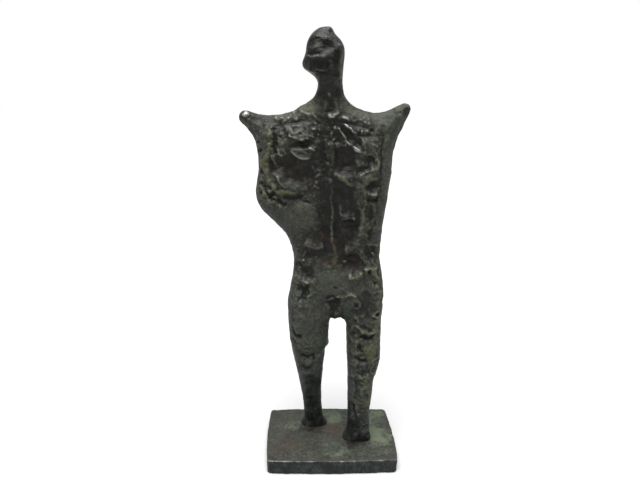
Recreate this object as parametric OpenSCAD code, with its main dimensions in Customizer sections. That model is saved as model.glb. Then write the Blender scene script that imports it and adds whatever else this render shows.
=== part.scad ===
// Cast bronze statuette of an armless standing figure on a rectangular plate.
// The figure is made of cast sections that meet on flat cuts, with a dowel pin
// across each cut, and each foot is held to the plate by a screw from below.
// Millimetres. +Z is up, the figure faces -Y, and "left" and "right" are the
// figure's own, so its right side is at -X. The origin is on the resting
// surface, under the middle of the plate.

/* [Plate] */
// Width of the plate at its middle
plate_w = 69; // [64:0.5:76]
// Depth of the plate at its middle
plate_d = 54; // [50:0.5:60]
// Thickness of the plate
plate_t = 7; // [6.5:0.1:9]
// Radius of the plate's corners, seen from above
plate_corner_r = 2.5; // [1.5:0.1:4]
// How far each side of the plate bulges beyond its corners
plate_bulge = 1.2; // [0.4:0.1:2]
// Chamfer along the plate's top edge
plate_chamfer = 0.8; // [0.3:0.1:1.5]

/* [Felt] */
// Thickness of the felt pad
felt_t = 1.5; // [1.2:0.1:2]
// How far the felt stands below the plate
felt_proud = 0.5; // [0.2:0.1:0.8]
// Width of the bare rim around the felt
felt_rim = 4; // [3:0.5:6]

/* [Foot screws] */
// Thread diameter of the foot screws
screw_d = 4; // [3:0.5:4]
// Length of a screw under its head
screw_l = 12; // [10:0.5:14]
// Diameter of the screw's head
screw_head_d = 7; // [6:0.5:8]
// Height of the screw's head
screw_head_h = 2.8; // [2:0.1:2.8]
// Outside diameter of the washers
washer_d = 9; // [8:0.5:9]
// Thickness of the washers
washer_t = 0.8; // [0.5:0.1:1]

/* [Dowel pins] */
// Diameter of the neck's dowel
neck_dowel_d = 4; // [3:0.5:5]
// Diameter of the dowels at the hips
hip_dowel_d = 5; // [3:0.5:6]
// Length of the neck and hip dowels
long_dowel_l = 16; // [10:1:18]
// Diameter of the dowels at the arm stubs
arm_dowel_d = 3; // [2:0.5:3]
// Length of the dowels at the arm stubs
arm_dowel_l = 11; // [7:1:12]

/* [Casting] */
// Points round each cross-section of the figure
ring_points = 40; // [24:4:48]
// Rings drawn between two stations of the figure
ring_steps = 4; // [1:1:4]

/* [Hidden] */

bronze = "#34362f";
steel = "#9a9a98";
felt_green = "#26382c";

// Heights of the plate, of the flat cuts and of the screw's stack.
plate_z = felt_proud;
plate_top = plate_z + plate_t;
recess_top = felt_t;
hip_z = 73;
neck_z = 187;
screw_head_gap = 0.2;
screw_head_z = recess_top + screw_head_gap;
washer_z = screw_head_z + screw_head_h;
counterbore_top = washer_z + washer_t;
counterbore_d = washer_d + 0.6;
clearance_d = screw_d + 0.4;
thread_end_gap = 1;
hex_key = 2.5;
hex_depth = 1.6;

// Centres of the foot screws and of the dowels, as [x, y].
right_foot = [-8.8, 11.8];
left_foot = [14.4, -3.2];
right_hip = [-11.8, 4.8];
left_hip = [16.4, 3.6];
neck = [-2.2, 5];

// The crotch is an arch between the legs: its middle, as [x, z], and radius.
crotch = [2.6, 72.3];
crotch_r = 3.7;

// Each arm stub leaves the torso through a flat cut: a point on the cut, and
// the direction that the stub grows in, up and outwards.
right_cut = [-38, 4.5, 173.6];
right_way = [-0.8, -0.12, 0.58];
left_cut = [28.6, 4.5, 175.6];
left_way = [0.76, -0.12, 0.64];
stub_tip_r = 3.4;
left_tip_r = 2.9;
stub_root_r = 6;
right_stub_l = 6.6;
left_stub_l = 9.4;

// Stations of the figure's sections, from the bottom up, in half millimetres:
// [height, right side's x, left side's x, middle's y, half the thickness].
right_leg_stations = [
    [7.5, -15, -2, 12, 5], [11, -14, -3.5, 12, 5.5], [28, -15.5, -4.5, 9.5, 6],
    [44, -18.5, -4, 7.5, 7], [58, -21.5, -2, 6, 8], [73, -23, -1, 4.5, 8]
];
left_leg_stations = [
    [7.5, 8, 20, -3.5, 5], [10, 7.5, 20.5, -3.5, 5.5], [16, 9, 20.5, -3, 5.5],
    [34, 9, 22.5, -0.5, 6.5], [48, 9, 25.5, 1.5, 7.5], [66, 8, 26.5, 3, 8],
    [73, 6.5, 26.5, 4, 8]
];
torso_stations = [
    [73, -23, 26.5, 4, 8.5], [84, -23, 27, 4, 9], [96, -21, 26.5, 4.5, 8.5],
    [108, -20, 25, 4.5, 8], [118, -23, 25, 4.5, 8], [130, -34.5, 26.5, 4, 9],
    [139, -39, 27.5, 4, 9.5], [155, -37.5, 29.5, 4, 9.5], [163, -38, 30.5, 4.5, 9],
    [175, -41.5, 32.5, 5, 7], [179, -37, 29, 5, 6.5], [180.5, -26, 20, 5, 6],
    [183, -16, 11, 5, 6], [187, -10.5, 6, 5, 6]
];
head_stations = [
    [187, -10.5, 6, 5, 6], [190, -8.5, 4.5, 5, 6], [194, -8, 4, 4, 6],
    [198, -11, 4, 3.5, 6.5], [201, -14.5, 4, 3, 7], [204, -15.5, 4, 3, 7.5],
    [210, -14, 4.5, 3, 7], [215, -13, 2.5, 3.5, 6.5], [218.5, -10, -0.5, 4, 4.5],
    [220.5, -5.5, -2.5, 4, 1.5]
];

// Power of the cross-sections: 2 is an ellipse, and more is squarer.
torso_power = 2.8;
limb_power = 2.4;
hair = 0.01;

// How fast column k changes with height between two stations.
function slope(low, high, k) = (high[k] - low[k]) / (high[0] - low[0]);

// Column k at the share t of the way from station b to station c, on a smooth
// curve through the stations a, b, c and d.
function smooth(a, b, c, d, k, t) =
    let (h = c[0] - b[0], leave = h * slope(a, c, k), arrive = h * slope(b, d, k))
    b[k] + leave * t
        + (3 * (c[k] - b[k]) - 2 * leave - arrive) * t * t
        + (leave + arrive - 2 * (c[k] - b[k])) * t * t * t;

// The stations with extra ones between, on smooth curves.
function refined(s, n) = [
    for (i = [0 : len(s) - 2], j = [0 : n - 1])
        let (a = s[max(i - 1, 0)], b = s[i], c = s[i + 1], d = s[min(i + 2, len(s) - 1)],
             t = j / n)
        [b[0] + (c[0] - b[0]) * t, for (k = [1 : 4]) smooth(a, b, c, d, k, t)],
    s[len(s) - 1]
];

function signed_power(v, p) = sign(v) * pow(abs(v), p);

// One cross-section: a rounded rectangle (superellipse) of n points.
function ring(s, power, n) = [
    for (i = [0 : n - 1])
        let (angle = 360 * i / n)
        [(s[1] + s[2]) / 2 + (s[2] - s[1]) / 2 * signed_power(cos(angle), 2 / power),
         s[3] + s[4] * signed_power(sin(angle), 2 / power), s[0]]
];

// A closed solid through the stations' cross-sections.
module section(stations, power) {
    s = refined(stations, ring_steps);
    n = ring_points;
    points = [for (row = s) each ring(row, power, n)];
    sides = [
        for (i = [0 : len(s) - 2], j = [0 : n - 1])
            let (a = i * n + j, b = i * n + (j + 1) % n)
            each [[a, a + n, b], [b, a + n, b + n]]
    ];
    bottom = [[for (j = [0 : n - 1]) j]];
    top = [[for (j = [n - 1 : -1 : 0]) (len(s) - 1) * n + j]];
    polyhedron(points, concat(sides, bottom, top));
}

// Turns +Z to point along a direction, at a place.
module aim(place, way) {
    tilt = acos(way[2] / norm(way));
    translate(place) rotate([0, tilt, atan2(way[1], way[0])]) children();
}

// The space beyond a cut, wide enough for an arm stub and no more.
module beyond(place, way) {
    reach = 24;
    aim(place, way) translate([-reach / 2, -reach / 2, 0]) cube(reach);
}

// A dowel pin with chamfered ends, centred on a cut.
module dowel(place, way, d, l) {
    chamfer = d / 8;
    aim(place, way) translate([0, 0, -l / 2]) rotate_extrude($fn = 48)
        polygon([
            [0, 0], [d / 2 - chamfer, 0], [d / 2, chamfer],
            [d / 2, l - chamfer], [d / 2 - chamfer, l], [0, l]
        ]);
}

// The hole that a dowel pin sits in, through both sides of its cut.
module dowel_hole(place, way, d, l) {
    end_gap = 0.5;
    aim(place, way) cylinder(h = l + 2 * end_gap, d = d, center = true, $fn = 48);
}

module neck_hole() dowel_hole([neck[0], neck[1], neck_z], [0, 0, 1], neck_dowel_d, long_dowel_l);
module hip_hole(hip) dowel_hole([hip[0], hip[1], hip_z], [0, 0, 1], hip_dowel_d, long_dowel_l);
module arm_hole(place, way) dowel_hole(place, way, arm_dowel_d, arm_dowel_l);

// The tapped hole in the sole of a foot.
module foot_hole(foot) {
    deep = washer_z + screw_l + thread_end_gap - plate_top;
    translate([foot[0], foot[1], plate_top - hair])
        cylinder(h = deep + hair, d = screw_d, $fn = 48);
}

// Half of a bulging side, from its corner to its middle, as [along, out].
function bulge(half, out, steps) = [
    for (i = [0 : steps]) let (t = i / steps) [half * (t - 1), out * (1 - (1 - t) * (1 - t))]
];

// The plate seen from above, drawn in by a margin on every side.
module plate_outline(margin) {
    w = plate_w / 2 - margin;
    d = plate_d / 2 - margin;
    r = plate_corner_r;
    steps = 6;
    corner = [w - plate_bulge, d - plate_bulge];
    side = bulge(corner[1] - r, plate_bulge, steps);
    back = bulge(corner[0] - r, plate_bulge, steps);
    quarter = concat(
        [for (i = [steps : -1 : 1]) [corner[0] + side[i][1], -side[i][0]]],
        [for (a = [0 : 15 : 90]) [corner[0] - r + r * cos(a), corner[1] - r + r * sin(a)]],
        [for (i = [1 : steps]) [-back[i][0], corner[1] + back[i][1]]]
    );
    turned = [for (i = [len(quarter) - 1 : -1 : 0]) quarter[i]];
    polygon(concat(
        quarter,
        [for (p = turned) if (p[0] > hair) [-p[0], p[1]]],
        [for (p = quarter) if (p[1] > hair) [-p[0], -p[1]]],
        [for (p = turned) if (p[0] > hair && p[1] > hair) [p[0], -p[1]]]
    ));
}

module foot_screw_passage(foot) {
    translate([foot[0], foot[1], 0]) {
        translate([0, 0, recess_top - hair])
            cylinder(h = counterbore_top - recess_top + hair, d = counterbore_d, $fn = 64);
        cylinder(h = plate_top + 1, d = clearance_d, $fn = 48);
    }
}

module base_plate() {
    color(bronze) difference() {
        union() {
            translate([0, 0, plate_z])
                linear_extrude(plate_t - plate_chamfer) plate_outline(0);
            translate([0, 0, plate_top - plate_chamfer])
                linear_extrude(plate_chamfer) plate_outline(plate_chamfer / 2);
        }
        translate([0, 0, plate_z - hair])
            linear_extrude(recess_top - plate_z + hair) plate_outline(felt_rim);
        foot_screw_passage(right_foot);
        foot_screw_passage(left_foot);
    }
}

module felt_pad() {
    color(felt_green) linear_extrude(felt_t) plate_outline(felt_rim);
}

// A low-headed screw, its head down and its hexagonal socket open downwards.
module foot_screw(foot) {
    color(steel) translate([foot[0], foot[1], screw_head_z]) difference() {
        union() {
            cylinder(h = screw_head_h, d = screw_head_d, $fn = 64);
            cylinder(h = screw_head_h + screw_l, d = screw_d, $fn = 48);
        }
        translate([0, 0, -hair])
            cylinder(h = hex_depth + hair, d = hex_key / cos(30), $fn = 6);
    }
}

module foot_washer(foot) {
    color(steel) translate([foot[0], foot[1], washer_z]) difference() {
        cylinder(h = washer_t, d = washer_d, $fn = 64);
        translate([0, 0, -1]) cylinder(h = washer_t + 2, d = clearance_d, $fn = 48);
    }
}

module right_leg() {
    color(bronze) difference() {
        section(right_leg_stations, limb_power);
        foot_hole(right_foot);
        hip_hole(right_hip);
    }
}

module left_leg() {
    color(bronze) difference() {
        section(left_leg_stations, limb_power);
        foot_hole(left_foot);
        hip_hole(left_hip);
    }
}

module torso() {
    color(bronze) difference() {
        section(torso_stations, torso_power);
        translate([crotch[0], 0, crotch[1]]) rotate([90, 0, 0])
            cylinder(h = 60, r = crotch_r, center = true, $fn = 64);
        beyond(right_cut, right_way);
        beyond(left_cut, left_way);
        neck_hole();
        hip_hole(right_hip);
        hip_hole(left_hip);
        arm_hole(right_cut, right_way);
        arm_hole(left_cut, left_way);
    }
}

module head_and_neck() {
    color(bronze) difference() {
        section(head_stations, limb_power);
        neck_hole();
    }
}

// A peg with a rounded tip, from its cut outwards.
module arm_stub(place, way, l, tip_r) {
    color(bronze) difference() {
        hull() {
            aim(place, way) cylinder(h = 0.5, r = stub_root_r, $fn = 32);
            aim(place, way) translate([0, 0, l]) sphere(tip_r, $fn = 32);
        }
        arm_hole(place, way);
    }
}

module right_arm_stub() arm_stub(right_cut, right_way, right_stub_l, stub_tip_r);
module left_arm_stub() arm_stub(left_cut, left_way, left_stub_l, left_tip_r);

module neck_dowel()
    color(bronze) dowel([neck[0], neck[1], neck_z], [0, 0, 1], neck_dowel_d, long_dowel_l);
module hip_dowel(hip)
    color(bronze) dowel([hip[0], hip[1], hip_z], [0, 0, 1], hip_dowel_d, long_dowel_l);
module shoulder_dowel(place, way)
    color(bronze) dowel(place, way, arm_dowel_d, arm_dowel_l);

base_plate();
felt_pad();
foot_screw(right_foot);  // right_foot_screw
foot_screw(left_foot);  // left_foot_screw
foot_washer(right_foot);  // right_foot_washer
foot_washer(left_foot);  // left_foot_washer
right_leg();
left_leg();
torso();
head_and_neck();
right_arm_stub();
left_arm_stub();
neck_dowel();
hip_dowel(right_hip);  // right_hip_dowel
hip_dowel(left_hip);  // left_hip_dowel
shoulder_dowel(right_cut, right_way);  // right_shoulder_dowel
shoulder_dowel(left_cut, left_way);  // left_shoulder_dowel
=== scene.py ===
"""Looks of the cast bronze statuette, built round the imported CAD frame.

The figure is one sculpted skin. It is made as a surface round an outline with depths
by height, then worked with ridges, grooves, lumps and hollows as a sculptor works wax.
It is cut on the CAD model's own planes into the same cast sections. Sizes here are
millimetres until the meshes are written, in metres.
"""

import math

import bmesh
import bpy
import numpy as np
import openvdb
from mathutils import Matrix, Vector


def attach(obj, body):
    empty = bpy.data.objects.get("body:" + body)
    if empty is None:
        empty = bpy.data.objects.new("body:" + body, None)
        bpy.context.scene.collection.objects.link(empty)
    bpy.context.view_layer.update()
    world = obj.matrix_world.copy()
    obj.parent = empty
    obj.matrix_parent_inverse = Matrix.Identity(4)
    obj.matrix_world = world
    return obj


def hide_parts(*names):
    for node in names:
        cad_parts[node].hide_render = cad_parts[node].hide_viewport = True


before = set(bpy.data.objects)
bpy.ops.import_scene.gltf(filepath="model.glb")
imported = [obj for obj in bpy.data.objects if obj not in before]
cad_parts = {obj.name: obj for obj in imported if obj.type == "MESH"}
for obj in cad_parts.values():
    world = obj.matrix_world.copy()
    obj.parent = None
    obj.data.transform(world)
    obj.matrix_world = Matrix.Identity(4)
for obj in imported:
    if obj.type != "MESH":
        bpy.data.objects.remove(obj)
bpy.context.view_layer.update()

MM = 0.001
PLATE_TOP = 7.5
HIP_Z = 73.0
NECK_Z = 187.0
# Each arm stub's cut: a point on it, the direction the stub grows in, and its length.
RIGHT_CUT = ((-38.0, 4.5, 173.6), (-0.8, -0.12, 0.58), 10.0)
LEFT_CUT = ((28.6, 4.5, 175.6), (0.76, -0.12, 0.64), 12.3)
# The gap between the legs. Each stub is further out than STUB_X and higher than STUB_Z.
CROTCH_X = 2.4
STUB_X = 20
STUB_Z = 150

# The plate, as in the CAD model but for its corners, which are a little sharper: half its
# width and depth, how far its sides bulge, the rim round the recess for the felt, and the
# passages for the screws.
PLATE_HALF = (34.5, 27.0)
PLATE_MIDDLE_Z = 4.0
PLATE_HALF_HEIGHT = 3.5
PLATE_BULGE = 1.2
PLATE_CORNER_R = 1.8
FELT_RIM = 4.0
RECESS_TOP = 1.5
COUNTERBORE_R = 4.8
COUNTERBORE_TOP = 5.3
CLEARANCE_R = 2.2
FOOT_SCREWS = ((-8.8, 11.8), (14.4, -3.2))


# ---------------------------------------------------------------- curves and noise


def curve_through(points, closed=False, gap=0.6):
    """A smooth curve through given points, as short straight steps."""
    p = np.array(points, float)
    n = len(p)
    steps_out = []
    for i in range(n if closed else n - 1):
        a = p[i - 1] if closed or i > 0 else p[i]
        b = p[i]
        c = p[(i + 1) % n]
        d = p[(i + 2) % n] if closed or i + 2 < n else c
        length = np.linalg.norm(c - b)
        leave = (c - a) * length / (length + np.linalg.norm(b - a))
        arrive = (d - b) * length / (length + np.linalg.norm(d - c))
        count = max(1, int(length / gap))
        t = np.arange(count)[:, None] / count
        steps_out.append(
            b
            + leave * t
            + (3 * (c - b) - 2 * leave - arrive) * t**2
            + (leave + arrive - 2 * (c - b)) * t**3
        )
    if not closed:
        steps_out.append(p[-1:])
    return np.concatenate(steps_out)


def nearest(path, q, closed=False):
    """For each point of q: distance to the path, side of it, and share of its length."""
    a = path if closed else path[:-1]
    b = np.roll(path, -1, 0) if closed else path[1:]
    lengths = np.linalg.norm(b - a, axis=1)
    starts = np.concatenate([[0], np.cumsum(lengths)])
    best = np.full(len(q), np.inf)
    side = np.zeros(len(q))
    share = np.zeros(len(q))
    for i in range(len(a)):
        ab = b[i] - a[i]
        away = q - a[i]
        t = np.clip(away @ ab / max(ab @ ab, 1e-12), 0, 1)
        off = away - t[:, None] * ab
        d2 = (off * off).sum(1)
        closer = d2 < best
        best[closer] = d2[closer]
        share[closer] = (starts[i] + t[closer] * lengths[i]) / starts[-1]
        side[closer] = np.sign(ab[0] * off[closer, 1] - ab[1] * off[closer, 0])
    return np.sqrt(best), side, share


def inside(path, q):
    """Which points of q are inside a closed path."""
    x, z = q[:, 0], q[:, 1]
    odd = np.zeros(len(q), bool)
    for (x0, z0), (x1, z1) in zip(path, np.roll(path, -1, 0)):
        if z0 != z1:
            crosses = (z0 > z) != (z1 > z)
            odd ^= crosses & (x < x0 + (x1 - x0) * (z - z0) / (z1 - z0))
    return odd


def fade(low, high, v):
    """0 below low, 1 above high, smooth between. low may be the larger one."""
    t = np.clip((v - low) / (high - low), 0, 1)
    return t * t * (3 - 2 * t)


LATTICE = np.random.default_rng(11).uniform(-1, 1, (64, 64, 64)).astype(np.float32)


def noise(p, size, seed=0):
    """Smooth noise from -1 to 1 at the points p, with features of about that size."""
    q = p / size + np.array([17.3, 5.1, 9.7]) * (seed + 1)
    cell = np.floor(q).astype(int)
    t = q - cell
    t = t * t * t * (t * (6 * t - 15) + 10)
    total = np.zeros(len(p))
    for corner in np.ndindex(2, 2, 2):
        c = (cell + corner) & 63
        weight = np.ones(len(p))
        for k in range(3):
            weight *= t[:, k] if corner[k] else 1 - t[:, k]
        total += weight * LATTICE[c[:, 0], c[:, 1], c[:, 2]]
    return total


def rough_noise(p, size, octaves=3, seed=0):
    """Several sizes of noise on top of each other, each half the size and strength of the last."""
    total = np.zeros(len(p))
    for k in range(octaves):
        total += 0.5**k * noise(p, size / 2**k, seed + 7 * k)
    return total


def dabs(p, size, seed=0):
    """Flat-tilted patches with creases between them, like dabs of pressed wax."""
    q = p / size + np.array([31.7, 12.9, 3.3]) * (seed + 1)
    cell = np.floor(q).astype(int)
    nearest_square = np.full(len(p), np.inf)
    value = np.zeros(len(p))
    for corner in np.ndindex(3, 3, 3):
        c = cell + corner - 1
        i, j, k = (c & 63).T
        jitter = np.stack([LATTICE[i, j, k], LATTICE[j, k, i], LATTICE[k, i, j]], 1)
        tilt = np.stack([LATTICE[i, k, j], LATTICE[j, i, k], LATTICE[k, j, i]], 1)
        away = q - (c + 0.5 + 0.42 * jitter)
        square = (away * away).sum(1)
        closer = square < nearest_square
        nearest_square[closer] = square[closer]
        dome = 0.6 - square[closer]
        value[closer] = dome + 0.9 * (away[closer] * tilt[closer]).sum(1) + 0.5 * jitter[closer, 0]
    return value


def threads(p, size, seed=0):
    """Winding raised threads, like smeared strings of wax. 0 between them, 1 on their crests."""
    wide = noise(p, size, seed) + 0.35 * noise(p, size / 2.3, seed + 1)
    return np.exp(-((wide / 0.13) ** 2))


# ---------------------------------------------------------------- the figure's form

# The figure's outline seen from the front, (x, z), clockwise from the crown. The points are
# the turns of the shape, to the nearest half millimetre, with a smooth curve through them.
OUTLINE = [
    (-4, 221), (-2, 221), (-0.5, 218), (2, 215), (4, 212), (4.5, 208), (4, 202), (4, 195),
    (5, 189), (7.5, 185.5), (13, 182.5), (20.5, 180.5), (26, 181.5), (34.5, 185.5), (37.5, 184),
    (37.5, 181), (33.5, 172.5), (30, 162), (29, 150), (26.5, 130), (24.5, 110), (25, 104),
    (27, 92), (26.5, 70), (26, 52), (23, 39), (21, 21), (20.5, 13), (22, 7.5), (22.5, 4.5),
    (6, 4.5), (6.5, 7.5), (8.5, 13), (9, 20), (9, 43), (8, 60), (8, 69), (7, 72.5), (4.5, 74.5),
    (2, 73.5), (0, 75), (-1, 71), (-1.5, 62), (-1, 58.5), (-3, 56), (-3.5, 52), (-4.5, 38),
    (-4.5, 20), (-3.5, 11), (-1, 7.5), (-0.5, 4.5), (-16.5, 4.5), (-16, 7.5), (-14, 11),
    (-14.5, 18), (-15.5, 28), (-18, 41), (-22, 61.5), (-23, 76), (-23, 84), (-21, 94.5),
    (-20, 104), (-21, 112.5), (-24, 119.5), (-30, 126), (-36.5, 133), (-39, 138.5),
    (-38.5, 146), (-37.5, 155), (-39, 166), (-43, 173), (-47, 177), (-46.5, 180), (-44, 181.5),
    (-38, 179.5), (-31, 179), (-24, 180), (-16, 183.5), (-10.5, 187.5), (-8, 192.5),
    (-8.5, 196), (-11, 198.5), (-15, 201), (-16, 203.5), (-14.5, 208), (-13.5, 214),
    (-11, 218), (-7, 220.5),
]

# Half the figure's thickness and the middle's y, by height.
TRUNK_DEPTH = [
    (73, 8.2), (84, 9), (92, 8.7), (100, 8.2), (110, 7.9), (120, 8.3), (130, 8.9), (140, 9.3),
    (150, 9.4), (158, 9), (166, 8.2), (173, 7.2), (179, 6.4), (187, 6), (193, 5.8), (197, 6.3),
    (201, 7.2), (206, 7.4), (210, 7), (214, 6.5), (217, 5.5), (219, 4.4), (221.5, 2.4),
]
TRUNK_MIDDLE = [
    (73, 4.1), (92, 4.2), (105, 4.6), (125, 4.4), (145, 4), (165, 4.5), (180, 5), (190, 4.8),
    (196, 3.8), (201, 2.9), (208, 2.9), (216, 3.5), (221, 4),
]
RIGHT_LEG_DEPTH = [
    (4, 6.4), (7.5, 5.6), (10, 5.2), (20, 5.6), (30, 6), (40, 6.4), (51, 7.2), (60, 7.8), (73, 8.2),
]
RIGHT_LEG_MIDDLE = [(4, 12), (12, 11.8), (28, 9.6), (44, 7.6), (60, 5.8), (73, 4.4), (84, 4)]
LEFT_LEG_DEPTH = [
    (4, 6.6), (7.5, 6), (11, 5.5), (20, 5.6), (34, 6.3), (47, 7.3), (61, 7.9), (73, 8.2),
]
LEFT_LEG_MIDDLE = [(4, -3.4), (12, -3.3), (25, -1.8), (41, 0.4), (54, 2), (66, 3.2), (84, 4)]

# How far in from the outline the front and back are rounded over, by height.
ROUNDING = [
    (4, 5), (30, 5), (60, 6.5), (80, 8), (100, 9), (150, 9), (166, 10), (176, 11), (186, 9), (192, 6),
    (202, 7), (222, 7),
]

# The spacing of the grid on which the figure's surface is found.
GRID_STEP = 0.44


def by_height(table, z):
    """A value read between the rows of a table of (height, value)."""
    return np.interp(z, [row[0] for row in table], [row[1] for row in table])


def skin(field, low, step):
    """The surface where a field is zero, as points and quads. The field is negative inside."""
    grid = openvdb.FloatGrid(100.0)
    grid.copyFromArray(np.ascontiguousarray(field, np.float32), tolerance=0.0)
    points, quads = grid.convertToQuads(0.0)
    points = np.array(points, float) * step + low
    quads = np.array(quads, int)
    a, b, c, d = (points[quads[:, k]] for k in range(4))
    volume = (np.cross(c - a, d - b) * (a + b + c + d)).sum()
    return points, quads if volume > 0 else quads[:, ::-1]


def blurred(field, times):
    """The field smoothed with its neighbours along every axis."""
    for _ in range(times):
        for axis in range(field.ndim):
            field = (np.roll(field, 1, axis) + 2 * field + np.roll(field, -1, axis)) / 4
    return field


def figure_skin():
    """The figure's plain form: its outline, rounded front and back to the depths above."""
    xs = np.arange(-51, 42, GRID_STEP)
    ys = np.arange(-13, 22, GRID_STEP)
    zs = np.arange(3, 225, GRID_STEP)
    gx, gz = np.meshgrid(xs, zs, indexing="ij")
    flat = np.stack([gx.ravel(), gz.ravel()], 1)
    outline = curve_through(OUTLINE, closed=True, gap=1.0)
    deep, _, _ = nearest(outline, flat, closed=True)
    deep = np.where(inside(outline, flat), deep, -deep).reshape(gx.shape)
    deep = blurred(deep, 2)

    leg_side = fade(-0.5, 5.5, gx)
    legs = fade(86, 72, gz)

    def joined(trunk, right_leg, left_leg):
        leg = by_height(right_leg, gz) * (1 - leg_side) + by_height(left_leg, gz) * leg_side
        return by_height(trunk, gz) * (1 - legs) + leg * legs

    depth = joined(TRUNK_DEPTH, RIGHT_LEG_DEPTH, LEFT_LEG_DEPTH)
    middle = joined(TRUNK_MIDDLE, RIGHT_LEG_MIDDLE, LEFT_LEG_MIDDLE)
    for place, way, length in (RIGHT_CUT, LEFT_CUT):
        scale = math.hypot(way[0], way[2])
        along = ((gx - place[0]) * way[0] + (gz - place[2]) * way[2]) / scale
        beside = np.abs((gx - place[0]) * way[2] - (gz - place[2]) * way[0]) / scale
        stub_depth = np.interp(along, [-8, 0, length], [7.4, 5.8, 3.6])
        share = fade(-8, -1, along) * fade(16, 10, beside)
        depth = depth * (1 - share) + stub_depth * share
        middle = middle + share * np.clip(along, 0, length) * way[1]
    rounding = by_height(ROUNDING, gz)
    edge = np.clip((rounding - deep) / rounding, 0, None) ** 2.2
    across = np.abs((ys[None, :, None] - middle[:, None, :]) / depth[:, None, :]) ** 2.2
    field = blurred(np.clip(edge[:, None, :] + across - 1, -1, 4), 3)
    return skin(field, np.array([xs[0], ys[0], zs[0]]), GRID_STEP)


# ---------------------------------------------------------------- working the surface


def normals_of(points, quads):
    """Each point's outward direction, from the faces round it."""
    a, b, c, d = (points[quads[:, k]] for k in range(4))
    flat = np.cross(c - a, d - b)
    total = np.zeros_like(points)
    for k in range(4):
        for axis in range(3):
            total[:, axis] += np.bincount(quads[:, k], flat[:, axis], len(points))
    return total / np.maximum(np.linalg.norm(total, axis=1, keepdims=True), 1e-12)


class Neighbours:
    """The mean of each point's neighbours, for smoothing and for finding ridges."""

    def __init__(self, quads, count):
        pairs = np.concatenate([quads[:, [k, (k + 1) % 4]] for k in range(4)])
        self.a = np.concatenate([pairs[:, 0], pairs[:, 1]])
        self.b = np.concatenate([pairs[:, 1], pairs[:, 0]])
        self.count = count
        self.share = 1 / np.maximum(np.bincount(self.a, minlength=count), 1)

    def mean(self, values, times=1):
        values = np.array(values, float)
        for _ in range(times):
            if values.ndim == 1:
                around = np.bincount(self.a, values[self.b], self.count) * self.share
            else:
                around = np.stack([
                    np.bincount(self.a, column[self.b], self.count) * self.share for column in values.T
                ], 1)
            values = 0.5 * values + 0.5 * around
        return values


# The heights of all tool marks are multiplied by this.
RELIEF = 0.7
# The patina's films. "pale" is bare rubbed metal and painted highlight, and "smooth" is gloss
# without grain. "knotty" is where the wax lies in strings. Only the modelling reads it, and the
# meshes keep the others.
FILMS = (
    "olive", "brown", "dark", "grey", "green", "pale", "red", "smooth", "verdigris", "slate",
    "knotty",
)


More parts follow.
